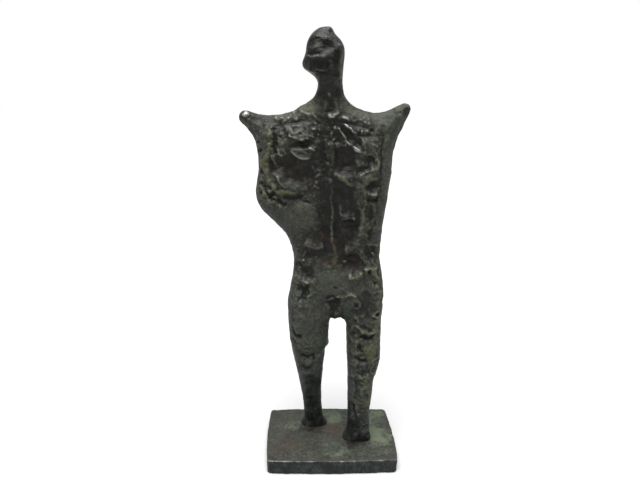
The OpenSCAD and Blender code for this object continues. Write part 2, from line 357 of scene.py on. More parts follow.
class Worked:
    """One side of the surface, with tools that raise or sink it and lay patina on it.

    Positions are (x, z) in millimetres. A positive height stands proud. The patina is
    given as the strength of any of the FILMS.
    """

    def __init__(self, points, normals, facing):
        self.p = points
        self.weight = fade(0.0, 0.5, normals[:, 1] * facing)
        drift = np.stack([
            0.6 * noise(points, 6.5, s) + 0.35 * rough_noise(points, 2.3, 2, s + 2) for s in (3, 4)
        ], 1)
        self.q = points[:, [0, 2]] + drift
        self.patchy = noise(points, 4.0, 8) + 0.4 * noise(points, 1.6, 9)
        self.height = np.zeros(len(points))
        self.patina = {}

    def near(self, shape, margin):
        """The points of this side that lie within a margin of a shape's box."""
        low, high = shape.min(0) - margin, shape.max(0) + margin
        return np.nonzero(
            (self.q[:, 0] > low[0]) & (self.q[:, 0] < high[0])
            & (self.q[:, 1] > low[1]) & (self.q[:, 1] < high[1])
            & (self.weight > 0)
        )[0]

    def lay(self, who, amount, patina):
        """Lays patina on some points. Bare metal and painted highlight (pale) show only where the amount is
        high.
        """
        for name, strength in patina.items():
            film = self.patina.setdefault(name, np.zeros(len(self.p)))
            share = 1.6 * amount - 0.7 if name == "pale" else amount
            film[who] = np.maximum(film[who], np.clip(share, 0, 1) * strength)

    def ridge(self, points, width, height, left=1.0, right=1.0, bumpy=0.3, closed=False, **patina):
        """A ridge along a curve, or a groove if the height is negative.

        left and right widen its slope on that side of the way the curve runs.
        """
        path = curve_through(points, closed)
        who = self.near(path, 4 * width * max(left, right))
        away, side, share = nearest(path, self.q[who], closed)
        patchy = self.patchy[who]
        wide = width * np.where(side > 0, left, right) * (1 + 0.15 * patchy)
        ends = 1.0 if closed else 0.2 + 0.8 * fade(0, 0.12, share) * fade(1, 0.88, share)
        shape = np.exp(0.4 - np.sqrt((away / wide) ** 2 + 0.16)) * ends
        self.height[who] += shape * np.clip(1 + bumpy * patchy, 0, 1.8) * height * RELIEF
        self.lay(who, (2.2 * shape - 0.8) * (1 + 0.4 * patchy), patina)

    def lump(self, x, z, rx, rz, height, angle=0.0, tilt=0.0, **patina):
        """A rounded lump, or a hollow if the height is negative. tilt shifts it to its top."""
        who = self.near(np.array([(x, z)]), max(rx, rz))
        c, s = math.cos(math.radians(angle)), math.sin(math.radians(angle))
        away = self.q[who] - (x, z)
        u = (away[:, 0] * c + away[:, 1] * s) / rx
        v = (away[:, 1] * c - away[:, 0] * s) / rz
        shape = np.clip(1 - u * u - v * v, 0, 1) ** 1.3
        self.height[who] += shape * (1 + tilt * v) * height * RELIEF
        self.lay(who, 1.5 * shape * (1 + 0.5 * self.patchy[who]), patina)

    def region(self, points, height, edge=1.0, tilt=0.0, **patina):
        """An area with a drawn border, raised or sunk as a whole."""
        path = curve_through(points, closed=True)
        who = self.near(path, 2 * edge + 1)
        away, _, _ = nearest(path, self.q[who], closed=True)
        away = np.where(inside(path, self.q[who]), away, -away)
        low, high = path[:, 1].min(), path[:, 1].max()
        v = (2 * self.q[who, 1] - low - high) / (high - low)
        soft = (0.4 + edge) * (1.0 - 0.3 * np.clip(v, -1, 1)) * (1 + 0.4 * self.patchy[who])
        shape = fade(-soft, soft, away)
        self.height[who] += shape * (1 + tilt * v) * height * RELIEF
        stained = fade(-1.3 * soft, 2.2 * soft, away + 0.9 * self.patchy[who])
        self.lay(who, 1.25 * stained * (1 + 0.3 * self.patchy[who]), patina)

    def ring(self, x, z, r, width, height, **patina):
        """A ridge round a circle."""
        around = [(x + r * math.cos(a), z + r * math.sin(a)) for a in np.arange(8) * math.pi / 4]
        self.ridge(around, width, height, closed=True, **patina)

    def scatter(self, low, high, count, size, height, seed, **patina):
        """Small lumps or pits at seeded places in a box from low to high."""
        rng = np.random.default_rng(seed)
        for _ in range(count):
            x, z = rng.uniform(low, high)
            r = size * rng.uniform(0.6, 1.5)
            tall = height * rng.uniform(0.5, 1.3)
            self.lump(x, z, r, r * rng.uniform(0.5, 1.2), 0.55 * tall, rng.uniform(-40, 40), **patina)


def lay_patina(w):
    """The broad patches of patina, from the shoulders down."""
    w.region([(-40, 181), (-20, 182), (-9, 190), (8, 190), (20, 182), (36, 186), (24, 174),
              (12, 176), (2, 179), (-10, 179), (-28, 177)], 0, 3, grey=1)
    w.region([(-42, 172), (-30, 174), (-29, 160), (-27, 147), (-12, 142), (-10, 128), (-15, 116),
              (-26, 118), (-44, 134)], 0, 5, grey=0.7, olive=0.15)
    w.region([(22, 176), (34, 176), (30, 150), (28, 110), (19, 112), (17, 130), (19, 150)], 0, 4,
             grey=0.6, olive=0.3)
    w.region([(-24, 112), (-10, 104), (10, 104), (26, 112), (30, 88), (10, 84), (-4, 86),
              (-26, 84)], 0, 5, grey=0.75)
    w.region([(-27, 86), (-2, 84), (0, 60), (-3, 42), (-22, 42)], 0, 5, grey=0.9)
    w.region([(6, 76), (30, 80), (28, 40), (20, 5), (6, 5), (8, 40)], 0, 5, grey=0.75)
    w.region([(-17, 42), (-3, 42), (-3, 5), (-16, 5)], 0, 5, grey=0.45)
    w.region([(-9, 174), (13, 176), (13, 158), (9, 150), (-4, 146), (-25, 148), (-25, 160),
              (-14, 162)], 0, 5, dark=0.8)
    w.region([(-9, 150), (11, 148), (12, 112), (-12, 112), (-7, 132)], 0, 4, dark=0.78)
    w.region([(-19, 46), (-2, 46), (-1, 5), (-17, 5)], 0, 6, slate=0.6)
    w.region([(6, 46), (14, 46), (13, 26), (24, 16), (24, 5), (5, 5)], 0, 6, slate=0.6)
    w.region([(-22, 84), (-6, 84), (-4, 46), (-20, 46)], 0, 6, slate=0.3)
    w.region([(-10, 84), (-3, 86), (-3, 60), (-5, 60)], 0, 3, green=0.4)
    w.ridge([(-4, 80), (-4, 66), (-5.4, 50), (-6, 30)], 2.2, 0, green=0.45)
    w.ridge([(9.4, 78), (10, 66), (10.4, 50), (10.6, 28)], 2.2, 0, green=0.45)


def lay_knots(w):
    """Where the wax was smeared on in strings: the flanks, the hips and the legs."""
    w.region([(-38, 176), (-28, 176), (-25, 162), (-29, 148), (-24, 141), (-30, 132), (-40, 138)],
             0, 2, knotty=0.8)
    w.region([(12, 172), (22, 172), (22, 148), (20, 118), (13, 118), (12, 140)], 0, 2, knotty=0.7)
    w.region([(12, 114), (27, 114), (29, 90), (24, 82), (15, 92), (13, 104)], 0, 2, knotty=0.9)
    w.region([(-21, 112), (-10, 108), (-8, 94), (-10, 84), (-23, 84)], 0, 2, knotty=0.7)
    w.region([(10, 80), (28, 80), (28, 50), (22, 14), (14, 14), (10, 44)], 0, 2, knotty=1)
    w.region([(-22, 84), (-8, 84), (-6, 60), (-10, 44), (-18, 44)], 0, 2, knotty=0.45)


def work_shoulders(w):
    # The smooth wedge of the neck, and the stippled slopes beside it.
    w.region([(-7.8, 198), (-0.2, 198), (0.8, 190), (1.4, 184), (2.2, 180.2), (-2.8, 178.6), (-7, 180.2),
              (-5.8, 184), (-6.4, 189)], 1.6, 1.1, tilt=-0.4, dark=1.4, smooth=0.5)
    w.region([(-17, 183.4), (-9, 189.6), (-7.2, 184), (-8, 179.4), (-17, 179.8)], 0, 2, olive=0.75)
    w.region([(3, 181), (2.2, 188.6), (5.6, 188), (13, 182.4), (12, 178.4)], 0, 2, olive=0.7)
    w.ridge([(-6.8, 180.2), (-3, 179), (2, 180.4)], 0.9, 0.8, olive=0.5)
    w.ridge([(5.6, 185.4), (10, 183), (16, 180.8), (20, 179.6)], 0.5, -0.7)
    # The broken ledge of the collar bones, with painted highlights on it and a drop under it.
    w.ridge([(-31, 178.4), (-27.5, 177.2), (-24, 176.8), (-19.5, 177.9), (-15, 179.6), (-9, 179)],
            1.0, 1.2, left=2.2, bumpy=0.9, pale=0.5, grey=1)
    w.ridge([(-30, 175.4), (-25, 174.4), (-20, 175.4), (-14, 177)], 1.0, -1.2, dark=0.8)
    w.ridge([(-4.4, 178.6), (-1, 178.9), (2.5, 178.7), (7.5, 177.2), (12.4, 176.4), (18.6, 175.2)],
            1.0, 1.3, left=2.4, bumpy=0.9, pale=0.7, grey=1)
    w.ridge([(2, 176.4), (7, 175), (12.4, 173.9), (17.8, 172.6)], 0.9, -1.4, dark=1)
    w.lump(5, 178.2, 2.8, 0.9, 0.8, -14, pale=0.7)
    w.lump(-0.6, 178.6, 2.0, 0.7, 0.7, pale=0.7)
    w.scatter((-26, 177), (-9, 181), 12, 1.3, 0.8, 21, pale=0.6)
    w.scatter((-11, 168), (1, 178), 16, 1.2, 0.9, 23, pale=0.5, olive=0.4)
    w.scatter((-11, 166), (3, 178), 14, 1.2, -1.0, 24, dark=0.6)
    w.lump(-4.4, 175.2, 2.2, 1.8, -0.8, red=0.5, dark=0.6)
    # The plate over the right breast: pitted, with a painted highlight on its lower rim and a painted
    # shadow in the drop under it.
    w.region([(-25, 175), (-17, 175.6), (-10.6, 175), (-10, 169.8), (-13, 167.6), (-16, 167.4),
              (-19.5, 168.6), (-23.4, 171)], 1.4, 1.0, tilt=-0.6, grey=0.5, smooth=0.4)
    w.ridge([(-22.8, 170.4), (-19.6, 168.5), (-16.2, 167.4), (-12, 167.8)], 0.9, 1.1, left=1.8,
            pale=0.8, smooth=0.5)
    w.scatter((-22, 169.5), (-12, 174.5), 9, 1.4, -0.9, 25, dark=0.6)
    w.ring(-14.4, 171, 1.6, 0.5, 0.6, grey=0.6)
    w.ring(-18.6, 172, 1.9, 0.5, 0.6, grey=0.6)
    w.lump(-15.6, 165.2, 8, 2.0, -2.0, dark=1)
    # The lens under it.
    w.region([(-23, 164), (-18, 164.4), (-12, 163.8), (-10.6, 161), (-14, 159), (-19, 160.4)],
             0.4, 1.2, tilt=-0.4, dark=1, smooth=0.5)
    # Diagonal facets over the left breast.
    w.ridge([(1.4, 174.2), (2.7, 171.2), (5, 167.8), (8.4, 164.9), (11.4, 163)], 0.6, 0.9, left=1.2,
            olive=0.3, pale=0.4)
    w.ridge([(4.6, 175), (6.8, 173.4), (9, 171.8), (11.2, 170.2)], 0.8, 1.1, left=1.6, pale=1)
    w.region([(2.6, 174), (5, 173.2), (9.6, 169.6), (12.4, 167), (11.8, 164.6), (8.4, 166.4), (4.6, 170)],
             -1.5, 1.2, dark=1, smooth=0.5)
    w.region([(11, 175.4), (17.6, 174), (17.6, 171.6), (11.2, 172)], 0.8, 1.0, tilt=-0.5, grey=0.8)
    w.ridge([(10.8, 171.9), (14, 171.7), (16.8, 172)], 0.6, 0.6, left=1.6, pale=0.6)
    w.ridge([(11, 170), (14, 169.6), (18, 170.6)], 0.9, -1.3, dark=1)
    w.lump(17.9, 172.2, 1.0, 1.2, -1.6, dark=1)
    # A lump with a painted highlight on it.
    w.lump(11.2, 162.7, 3.2, 1.6, 1.5, -28, pale=0.6, smooth=1)
    w.ridge([(1.5, 163.6), (3.6, 164.5), (6, 164.9)], 0.8, 0.9, left=1.6, olive=0.4, pale=0.4)


def work_breast(w):
    # Deep hollows under the breast ridges.
    # The lens's lower rim: a ridge with a painted highlight on it.
    w.ridge([(-22, 163), (-19.4, 160.4), (-16.4, 158.8), (-13.4, 158.2), (-10.8, 158.8)], 0.55, 1.3,
            left=1.2, bumpy=0.1, pale=0.4, smooth=0.9)
    w.region([(-28, 157), (-22, 158.4), (-17, 155.2), (-11, 154.4), (-9.6, 150), (-12.6, 146), (-22, 146),
              (-27, 149.6)], -2.2, 4, tilt=0.4, brown=1, smooth=0.7, dark=0.6)
    w.lump(-17.8, 154.6, 2.6, 1.4, 0, red=0.3)
    w.ridge([(-12.8, 163.4), (-10.6, 162.6), (-8.9, 161.7)], 0.8, 1.1, left=1.4, olive=0.7, pale=0.4)
    w.region([(-28, 169), (-24, 168.6), (-23.4, 162.6), (-26.4, 160.8), (-28.2, 163)], 0.5, 1.4, grey=1)
    w.ring(-25.6, 161.8, 1.7, 0.6, 0.7, olive=0.8, pale=0.3)
    w.region([(1, 162.6), (6, 163.4), (9.6, 160), (9.8, 154), (7, 151.2), (2.4, 151.4), (0.8, 156)],
             -1.9, 3, tilt=0.3, brown=0.8, smooth=0.6, dark=0.9)
    w.lump(11.8, 160.5, 2.0, 1.2, 0.3, red=1)
    w.lump(11.3, 157.8, 2.4, 1.3, 0.5, olive=0.3, grey=0.8)
    w.ridge([(10.4, 157.2), (12.4, 156.4), (14.6, 157.4)], 0.5, 0.7, olive=1, red=0.2)
    w.ridge([(12.6, 156.4), (11.4, 154.4), (10.8, 153.4)], 0.5, 0.6, olive=0.9)
    # The breast bone.
    w.lump(-1.4, 160, 3.2, 8.2, 1.2, -3, olive=0.4, grey=0.6)
    w.ridge([(-1.6, 166.4), (-3.4, 165), (-3.9, 161)], 0.7, 0.6, olive=0.4)
    w.ridge([(-5.4, 167), (-5.6, 160), (-5.2, 153), (-4.2, 148)], 1.4, -1.4, dark=0.6)
    w.ridge([(-9.8, 151.4), (-9.4, 153), (-7.4, 153.4), (-6.2, 152), (-7.6, 150.6), (-9.6, 150)],
            0.6, 0.9, olive=0.3, grey=0.7)
    w.ridge([(-9.4, 149.6), (-6.8, 150.7), (-4.2, 150.2)], 0.5, 0.6, pale=0.25)
    w.ridge([(-10.2, 145.6), (-8.6, 145), (-7, 144)], 0.6, 0.8, left=1.4, pale=0.3)
    w.ridge([(-8.8, 148), (-8.2, 146.4)], 0.7, 0.6, olive=0.5)
    w.scatter((-13, 144), (0, 170), 34, 1.5, 0.8, 33, grey=0.5)
    w.scatter((-13, 144), (0, 170), 20, 1.4, -0.8, 34)
    # The knotted ridges outside the left breast.
    w.ridge([(12.6, 168), (14.7, 164.4), (15.3, 161.4), (17.6, 160.8), (19, 162)], 0.8, 0.9, olive=0.7)
    w.region([(14, 169.6), (20.8, 169), (21, 162.8), (17, 162.6), (15.4, 164.8)], 0.6, 1.4,
             olive=0.35, grey=0.8)
    w.ridge([(19, 166.6), (20.4, 165.2), (21.8, 163.8)], 0.6, 0.9, pale=0.8)
    w.region([(15.4, 160), (18.4, 160.4), (18.6, 156.6), (17, 154.8), (15, 156.4)], -1.9, 1.2, dark=1)
    w.ridge([(18.4, 158.2), (20.6, 158.6), (21.8, 156.6), (20.8, 154), (18.6, 153.8), (17.8, 155.6)],
            0.8, 1.1, olive=0.6)
    w.region([(11, 153.8), (16.6, 154.6), (17, 152), (12, 150.8)], -1.8, 1.2, dark=1)
    w.ridge([(12.2, 150), (14.4, 151.4), (16.8, 152.8), (19.6, 153.6)], 0.7, 1.0, left=1.3,
            olive=0.7, pale=0.15)
    w.ridge([(11, 149.4), (14.6, 149.6), (18.4, 151.2), (22, 153)], 0.9, 0.7, grey=1)
    # The lower rims of the breasts.
    w.ridge([(1, 151), (3.6, 148.8), (6.6, 146.8), (10, 145.6), (13.6, 145.4), (17.6, 147.6),
             (22.4, 149.8)], 1.1, 1.7, left=2.2, bumpy=0.25, olive=0.6, grey=0.8)
    w.region([(14.4, 146), (21, 148), (21.6, 143.6), (15.4, 143.2)], -1.8, 1.4, dark=1)
    w.region([(0.6, 151), (6, 150.4), (8, 147.2), (4, 146.6)], 0.9, 1.2, tilt=0.5, grey=1.3, pale=0.12)


def work_right_side(w):
    # The long ridge down the right side and round under the ribs.
    w.ridge([(-29.4, 174.6), (-31.4, 169), (-32.4, 163), (-33, 157), (-32.6, 151), (-31, 146),
             (-28, 142.8), (-23, 141.9), (-16, 142.4)], 1.2, 2.2, left=1.3, bumpy=0.25, olive=1, grey=0.8)
    w.ridge([(-30.6, 160), (-29, 156.6), (-27.6, 155.2)], 0.5, 0.9, olive=1)
    w.ridge([(-30, 152.6), (-28.4, 149.4), (-25, 145.2), (-22.6, 144)], 0.6, 0.8, pale=0.3, olive=0.4)
    w.ridge([(-28.6, 150.8), (-26, 147.6), (-22, 145.4), (-16, 144.4), (-12, 145)], 1.8, 1.6,
            left=1.6, bumpy=0.2, grey=1.2, pale=0.1)
    w.region([(-31.4, 159), (-29, 155), (-29.4, 151.6), (-31.2, 153)], -1.8, 1.1, dark=1)
    w.ridge([(-29.4, 172), (-29, 165), (-28.6, 160)], 1.2, -1.5, dark=0.9)
    for x, z, r in ((-36.4, 162.2, 1.4), (-35.4, 152.6, 2.0), (-35.6, 145.6, 2.4), (-36.6, 166, 1.2)):
        w.lump(x, z, r * 0.8, r, -1.9, dark=1)
    w.lump(-34.8, 156.4, 1.5, 2.6, 0.9, -15, red=0.5, olive=1)
    w.lump(-35.6, 148.6, 1.5, 1.2, 0.9, red=0.5, olive=1)
    w.lump(-27.4, 142.4, 1.8, 1.0, 0.6, -20, red=0.35, olive=1)
    w.ridge([(-26, 139.8), (-20.4, 139.4), (-14.6, 140.2)], 1.0, -1.5, dark=0.9)
    # Rough lumps over the overhang of the ribs.
    w.ridge([(-37.2, 147), (-34.6, 142.6), (-32.4, 138.6), (-31, 136)], 0.9, 1.1, olive=0.9)
    w.ridge([(-32.6, 145.6), (-31.8, 142), (-29.8, 139)], 0.8, 1.2, olive=1)
    w.ridge([(-34.4, 146), (-33, 142), (-31, 139)], 0.8, -1.6, dark=1)
    w.scatter((-37.5, 136), (-28, 147), 20, 1.4, 1.2, 41, olive=0.8)
    w.scatter((-37.5, 136), (-28, 147), 16, 1.3, -1.4, 42, dark=0.9)
    w.ridge([(-27.8, 139), (-26, 137), (-23.6, 135.4)], 1.0, -2.2, dark=1)
    w.ridge([(-28.6, 137), (-25.6, 134.4)], 0.8, 0.7, pale=0.4)
    w.ridge([(-14.9, 138), (-12.6, 137), (-10.8, 136.6)], 0.7, -1.2, dark=0.8)
    w.scatter((-33, 162), (-25, 177), 18, 1.5, 1.0, 43, olive=0.6)
    w.scatter((-33, 162), (-25, 177), 12, 1.3, -1.2, 44, dark=0.8)
    w.scatter((-38, 165), (-31, 174), 10, 1.6, 0.8, 45, green=0.5, olive=0.4)


def work_belly(w):
    # The stippled patch of the right flank, and the smooth slope below it.
    w.lump(-14, 129.5, 10, 10, 1.8, -35, olive=0.45, grey=0.9)
    w.lump(-21, 129, 5, 12, 0.5, -38, grey=1)
    w.region([(-8.4, 134.6), (-2.6, 136), (-2.2, 121.4), (-5.6, 122.6), (-7.6, 127)], -1.0, 2, dark=1)
    # The thin ridge down the middle.
    w.ridge([(-1.5, 149), (-1.3, 143), (-1.2, 138)], 0.9, 0.6, bumpy=0.8, grey=0.3)
    w.ridge([(-1.2, 139), (-1, 132), (-0.6, 125), (-0.4, 118), (-0.2, 115.4)], 0.55, 1.2, bumpy=0.8,
            olive=0.25, grey=0.6)
    w.ridge([(1.4, 146), (1.4, 134), (1.6, 121)], 0.9, -1.2, dark=0.9)
    w.region([(2.2, 136), (6, 134.4), (4.6, 131), (2, 131.6)], 0.5, 1, grey=0.8)
    # A dark recess under the left breast, with a raised column beside it.
    w.region([(3, 143.4), (9.2, 142.8), (10.4, 139.6), (10.8, 133.6), (8, 132.8), (4.9, 134.4), (3.6, 138)],
             -1.2, 2.6, tilt=0.4, dark=0.9)
    w.region([(9, 142.6), (12, 145), (17, 143.4), (15, 138.6), (13.6, 134), (12.2, 132), (10.6, 138)],
             1.3, 1.6, tilt=0.2, olive=0.5, grey=1.4)
    w.region([(13, 134), (15.6, 131.4), (17.4, 124), (15.8, 119.6), (12.6, 123.4), (12.8, 129)],
             1.3, 1.4, olive=0.5, green=0.2, grey=1.4)
    w.region([(11.2, 133.4), (13.4, 133), (12.8, 127.6), (11.2, 128)], -1.3, 0.8, dark=0.8)
    w.ridge([(2, 132), (6, 131.2), (10.6, 131.8)], 1.0, 0.9, grey=1)
    w.ridge([(3.6, 127.4), (6, 128.6), (8.4, 129), (10.8, 127.8)], 1.1, 0.9, left=1.4, bumpy=0.8, pale=0.6)
    w.ridge([(3.6, 127.8), (3.2, 126.4), (3.6, 124.6)], 0.8, 0.7, bumpy=0.8, grey=1, pale=0.3)
    # Two wide brown hollows in the belly, with smooth, grey lower rims that carry a painted sheen.
    w.region([(2, 126.8), (11.4, 126.8), (12.6, 122), (12, 117.5), (9, 114.8), (4.6, 114), (1.6, 117)],
             -1.9, 3.4, tilt=0.5, brown=1, smooth=0.7)
    w.region([(-12, 118.4), (-8.6, 121.4), (-4.6, 124.6), (-1.4, 122), (-1.2, 116.4), (-4.4, 114.6),
              (-9, 114.8)], -1.6, 3.4, tilt=0.5, brown=1, red=0.12, smooth=0.7)
    w.ridge([(-9.4, 122.4), (-6.6, 123.6), (-3.6, 126.6)], 0.7, 0.8, grey=1)
    w.ridge([(-14.4, 117), (-11.4, 115.2), (-8.4, 113.8), (-4.4, 113.8)], 2.2, 1.7, left=2,
            bumpy=0.15, pale=0.2, grey=1, smooth=0.35)
    w.ridge([(4.4, 113), (8, 113.6), (10.6, 115), (12.8, 118), (13.6, 122), (13.2, 126.4)], 2.2,
            1.7, left=1.8, bumpy=0.15, pale=0.2, grey=1, smooth=0.35)
    w.ridge([(-0.2, 120), (0.6, 116), (0.6, 112), (1.4, 108), (0.8, 104.6)], 1.5, 1.0, olive=0.6, red=0.3)
    w.ridge([(-2.4, 103.4), (0.8, 104.8), (3.4, 104.4), (5.6, 104.9)], 1.1, 0.8, olive=0.6, red=0.2)
    w.lump(5.9, 106.5, 1.6, 0.8, 0.7, 0, pale=0.4)
    w.region([(-15, 113.2), (-9, 112.6), (-3.6, 113), (-2.4, 109.6), (-6, 108), (-13, 108.6)], -1.6, 2,
             dark=0.8, brown=0.5)
    w.region([(-8.6, 108), (-2.6, 108.6), (-2.6, 105.4), (-7.6, 106)], -0.5, 1.5, brown=0.6,
             red=0.4, smooth=0.6)
    # The hollow low on the left, with an olive lip that carries a painted highlight.
    w.region([(4.6, 108.8), (9, 109.6), (14, 108.6), (14.8, 104), (13, 100.4), (10.2, 99),
              (8, 102.4), (5.6, 105.6)], -2.2, 3.4, tilt=0.2, brown=0.9, dark=0.5, smooth=0.7)
    w.ridge([(7.2, 99), (10.4, 97.8), (13.2, 98.2), (16.2, 100.6), (17.6, 103.6)], 1.2, 1.5, left=1.5,
            olive=0.8, pale=0.35)
    w.lump(0.5, 96.6, 13, 9.5, 1.9, grey=1.3)
    for r in (4.5, 6.4, 8.3):
        turns = np.radians([-70, -40, -12, 12, 40, 70])
        arc = [(-1.6 + r * math.sin(a), 107 - r * math.cos(a)) for a in turns]
        w.ridge(arc, 0.6, -0.35, bumpy=0.1)
    w.lump(1.6, 93.4, 1.6, 0.9, -0.7, dark=0.8)


def work_left_flank(w):
    # A dark line parts the flank's smooth strip from the front.
    w.ridge([(22.6, 174.6), (23.4, 170), (23.3, 164), (23, 157), (22.6, 150), (22, 141), (21, 132),
             (20.6, 125), (20, 117)], 0.8, -0.9, bumpy=0.9, dark=0.6)
    w.ridge([(25.6, 172), (25.8, 160), (25.2, 150), (24.4, 140), (23.6, 128)], 1.6, 0.6, olive=0.3)
    w.ridge([(16, 141.4), (18.6, 140.8), (21.4, 141.2)], 0.8, 1.2, left=1.4, olive=0.5, pale=0.5)
    w.ridge([(15.8, 139), (18.7, 137.6), (22.2, 138.2)], 0.9, -1.6, dark=1)
    w.lump(18.6, 131.4, 1.8, 5, -1.4, 8, dark=0.9)
    w.lump(18.8, 121, 1.8, 5, -1.2, -8, dark=0.8)
    w.scatter((14, 116), (21, 140), 14, 1.6, 0.9, 51, olive=0.5)
    # Creases above the left hip, then small curled loops of wax.
    w.region([(16, 114.4), (22.4, 114.2), (22.6, 108.4), (17.4, 107.4)], -1.5, 1.6, dark=1)
    w.ridge([(18, 115), (19.8, 112), (21.6, 109)], 0.5, 1.1, grey=1, pale=0.3)
    w.ridge([(16.6, 115.4), (20, 115.2), (23.4, 115.6)], 0.5, 0.9, grey=1, pale=0.3)
    w.ridge([(12.6, 113), (14.2, 111.6), (13.4, 109.6), (15, 107.8)], 0.9, 1.2, olive=0.7)
    w.ridge([(17.6, 99), (17.6, 101.8), (19.2, 103), (20.6, 101.6), (20.2, 98.8)], 0.7, 1.4, olive=1)
    w.lump(19, 100.6, 1.1, 1.5, -1.6, dark=1)
    w.ridge([(21.6, 104), (21.4, 100), (22.8, 97.2), (24.6, 97)], 0.8, 1.4, olive=1, pale=0.2)
    w.lump(22.8, 101, 1.0, 2.2, -1.4, dark=1)
    w.ridge([(20.8, 95.6), (21.2, 93.6), (23, 92.8), (24.4, 94.2)], 0.7, 1.2, olive=1)
    w.lump(22.8, 95, 1.1, 0.8, -1.2, dark=1)
    w.ridge([(19.4, 92), (20.6, 89.8)], 0.8, 0.9, olive=0.8)
    w.region([(15, 106), (17, 106), (17, 96), (15.4, 97)], -1.0, 1.2, dark=0.8)


def work_hips(w):
    w.lump(-14.7, 107.6, 1.3, 1.1, 1.0, pale=0.6, olive=0.6)
    w.ridge([(-15.6, 109), (-14, 111.8), (-11, 112.6)], 0.6, 0.8, olive=0.4)
    w.region([(-18, 106), (-14.6, 104.6), (-10.6, 100), (-11.6, 97.4), (-14.6, 97), (-17.6, 100.4)],
             -2.2, 2, tilt=0.3, dark=1)
    w.ridge([(-20, 101.6), (-18.8, 98.8), (-15, 96.8), (-12.4, 94.4)], 1.2, 1.6, left=1.0,
            right=1.6, grey=1, olive=0.6)
    w.lump(-13.4, 95.6, 1.4, 1.0, 0.6, -40, olive=1, pale=0.4)
    w.region([(-18.6, 92.6), (-13, 94), (-12.8, 88), (-16.4, 86.6)], -2.0, 1.6, dark=1)
    w.ridge([(-12.4, 92.6), (-11.8, 89.4), (-12.4, 87)], 0.7, 1.1, olive=0.8)
    w.ridge([(-20.4, 92), (-18.4, 88), (-17.6, 85.6), (-14.4, 86.4), (-12, 86)], 1.0, 1.0, grey=1,
            olive=0.3)
    w.ridge([(-17.4, 84.4), (-15, 83.6), (-12.6, 84.6)], 0.8, 0.8, grey=1, pale=0.2)
    w.scatter((-20, 84), (-8, 96), 12, 1.4, 0.7, 61, olive=0.4)
    # The fold over the crotch, and the dark notch with a small lump in it.
    w.ridge([(1.4, 87.4), (4, 88.4), (6.4, 88), (9, 88.6), (12.4, 87.2)], 0.9, 1.3, left=1.4,
            olive=0.6, pale=0.4)
    w.region([(-3, 85.4), (0.6, 86), (3.8, 86.4), (3.4, 83.4), (1.8, 80), (0, 80.4), (-0.8, 83)],
             -2.4, 1.2, dark=1)
    w.ridge([(-3.6, 87), (-1, 88.6), (1.4, 88.8)], 0.6, -1.4, dark=1)
    w.lump(1.5, 76.8, 2.4, 3, 1.6, dark=0.8)
    w.lump(-3.6, 79, 3, 6, 0.7, 10, green=0.5)
    w.lump(7.6, 80, 3.2, 6, 0.8, -10, green=0.5)
    w.ridge([(9.6, 83), (11.4, 85.6), (14.4, 84.8), (14, 82), (11.6, 81.6)], 0.8, 1.2, green=0.5, olive=0.5)
    w.lump(12.4, 83.2, 1.4, 1.1, -1.4, dark=1)
    w.region([(15.4, 90), (20.6, 90.6), (21.4, 82), (19.4, 77), (15.6, 77.4)], -1.4, 2.4, dark=0.8,
             smooth=1)
    w.ridge([(25.4, 92), (24, 86), (22.8, 80)], 1.1, 1.2, olive=0.9)


def work_right_leg(w):
    w.region([(-18.6, 84), (-12, 84), (-8, 81), (-7, 74), (-8, 66), (-12, 56.6), (-17.2, 62), (-19, 74)],
             0.9, 3, grey=1.3)
    w.ridge([(-19.6, 72.4), (-18.6, 68.8), (-17, 67.6), (-15.6, 68.6)], 0.8, 1.2, left=1.2,
            olive=0.5, grey=1)
    w.ridge([(-21, 71), (-19.4, 66.6), (-17.2, 65.8), (-15, 66.6)], 0.8, -1.6, dark=1)
    w.ridge([(-19.4, 84), (-20, 77), (-20.4, 73)], 0.8, -0.9, dark=0.5)
    w.ridge([(-20.6, 64.6), (-18.4, 60), (-17, 55), (-15.6, 51)], 0.9, -0.7, dark=0.3)
    w.ridge([(-21.4, 64), (-20, 58), (-18.6, 52), (-17, 45)], 1.0, 0.8, grey=1, olive=0.3)
    w.scatter((-17, 56), (-7, 82), 24, 1.6, 0.6, 71, grey=1)
    w.scatter((-17, 56), (-7, 82), 16, 1.3, -0.6, 72)
    # The knee.
    w.lump(-12.2, 49.4, 3.0, 2.8, 1.8, olive=0.4, grey=1)
    w.ridge([(-16.6, 54.2), (-14.6, 53.6), (-12.4, 52.8), (-10, 53.6), (-8.6, 50.4)], 0.9, -1.8, dark=1)
    w.ridge([(-15.6, 48), (-13.4, 45.8), (-10.6, 46)], 0.8, -1.1, dark=0.6)
    w.ridge([(-16, 43.6), (-13, 43), (-10.4, 43.6)], 1.2, 0.6, grey=0.8, green=0.3)
    w.region([(-12.6, 40), (-9, 41), (-7.4, 30), (-7.6, 10), (-12.8, 10), (-13, 30)], -0.7, 2.5,
             dark=1, smooth=0.6)
    w.ridge([(-14.8, 40), (-13.8, 30), (-13.4, 20)], 1.1, 0.6, grey=0.9, green=0.2)
    w.ridge([(-5.8, 42), (-5.8, 30), (-5.8, 18)], 1.1, 0.5, green=0.5)
    w.region([(-16, 17), (-3, 17), (-1, 7), (-16, 7)], 0, 5, dark=1)
    for x, top in ((-15, 15), (-12, 21), (-8.8, 16), (-5.8, 20), (-2.8, 14)):
        w.ridge([(0.9 * x - 0.8, top), (x, 12), (x, 7)], 1.3, 0.5, bumpy=0.9, dark=0.8)


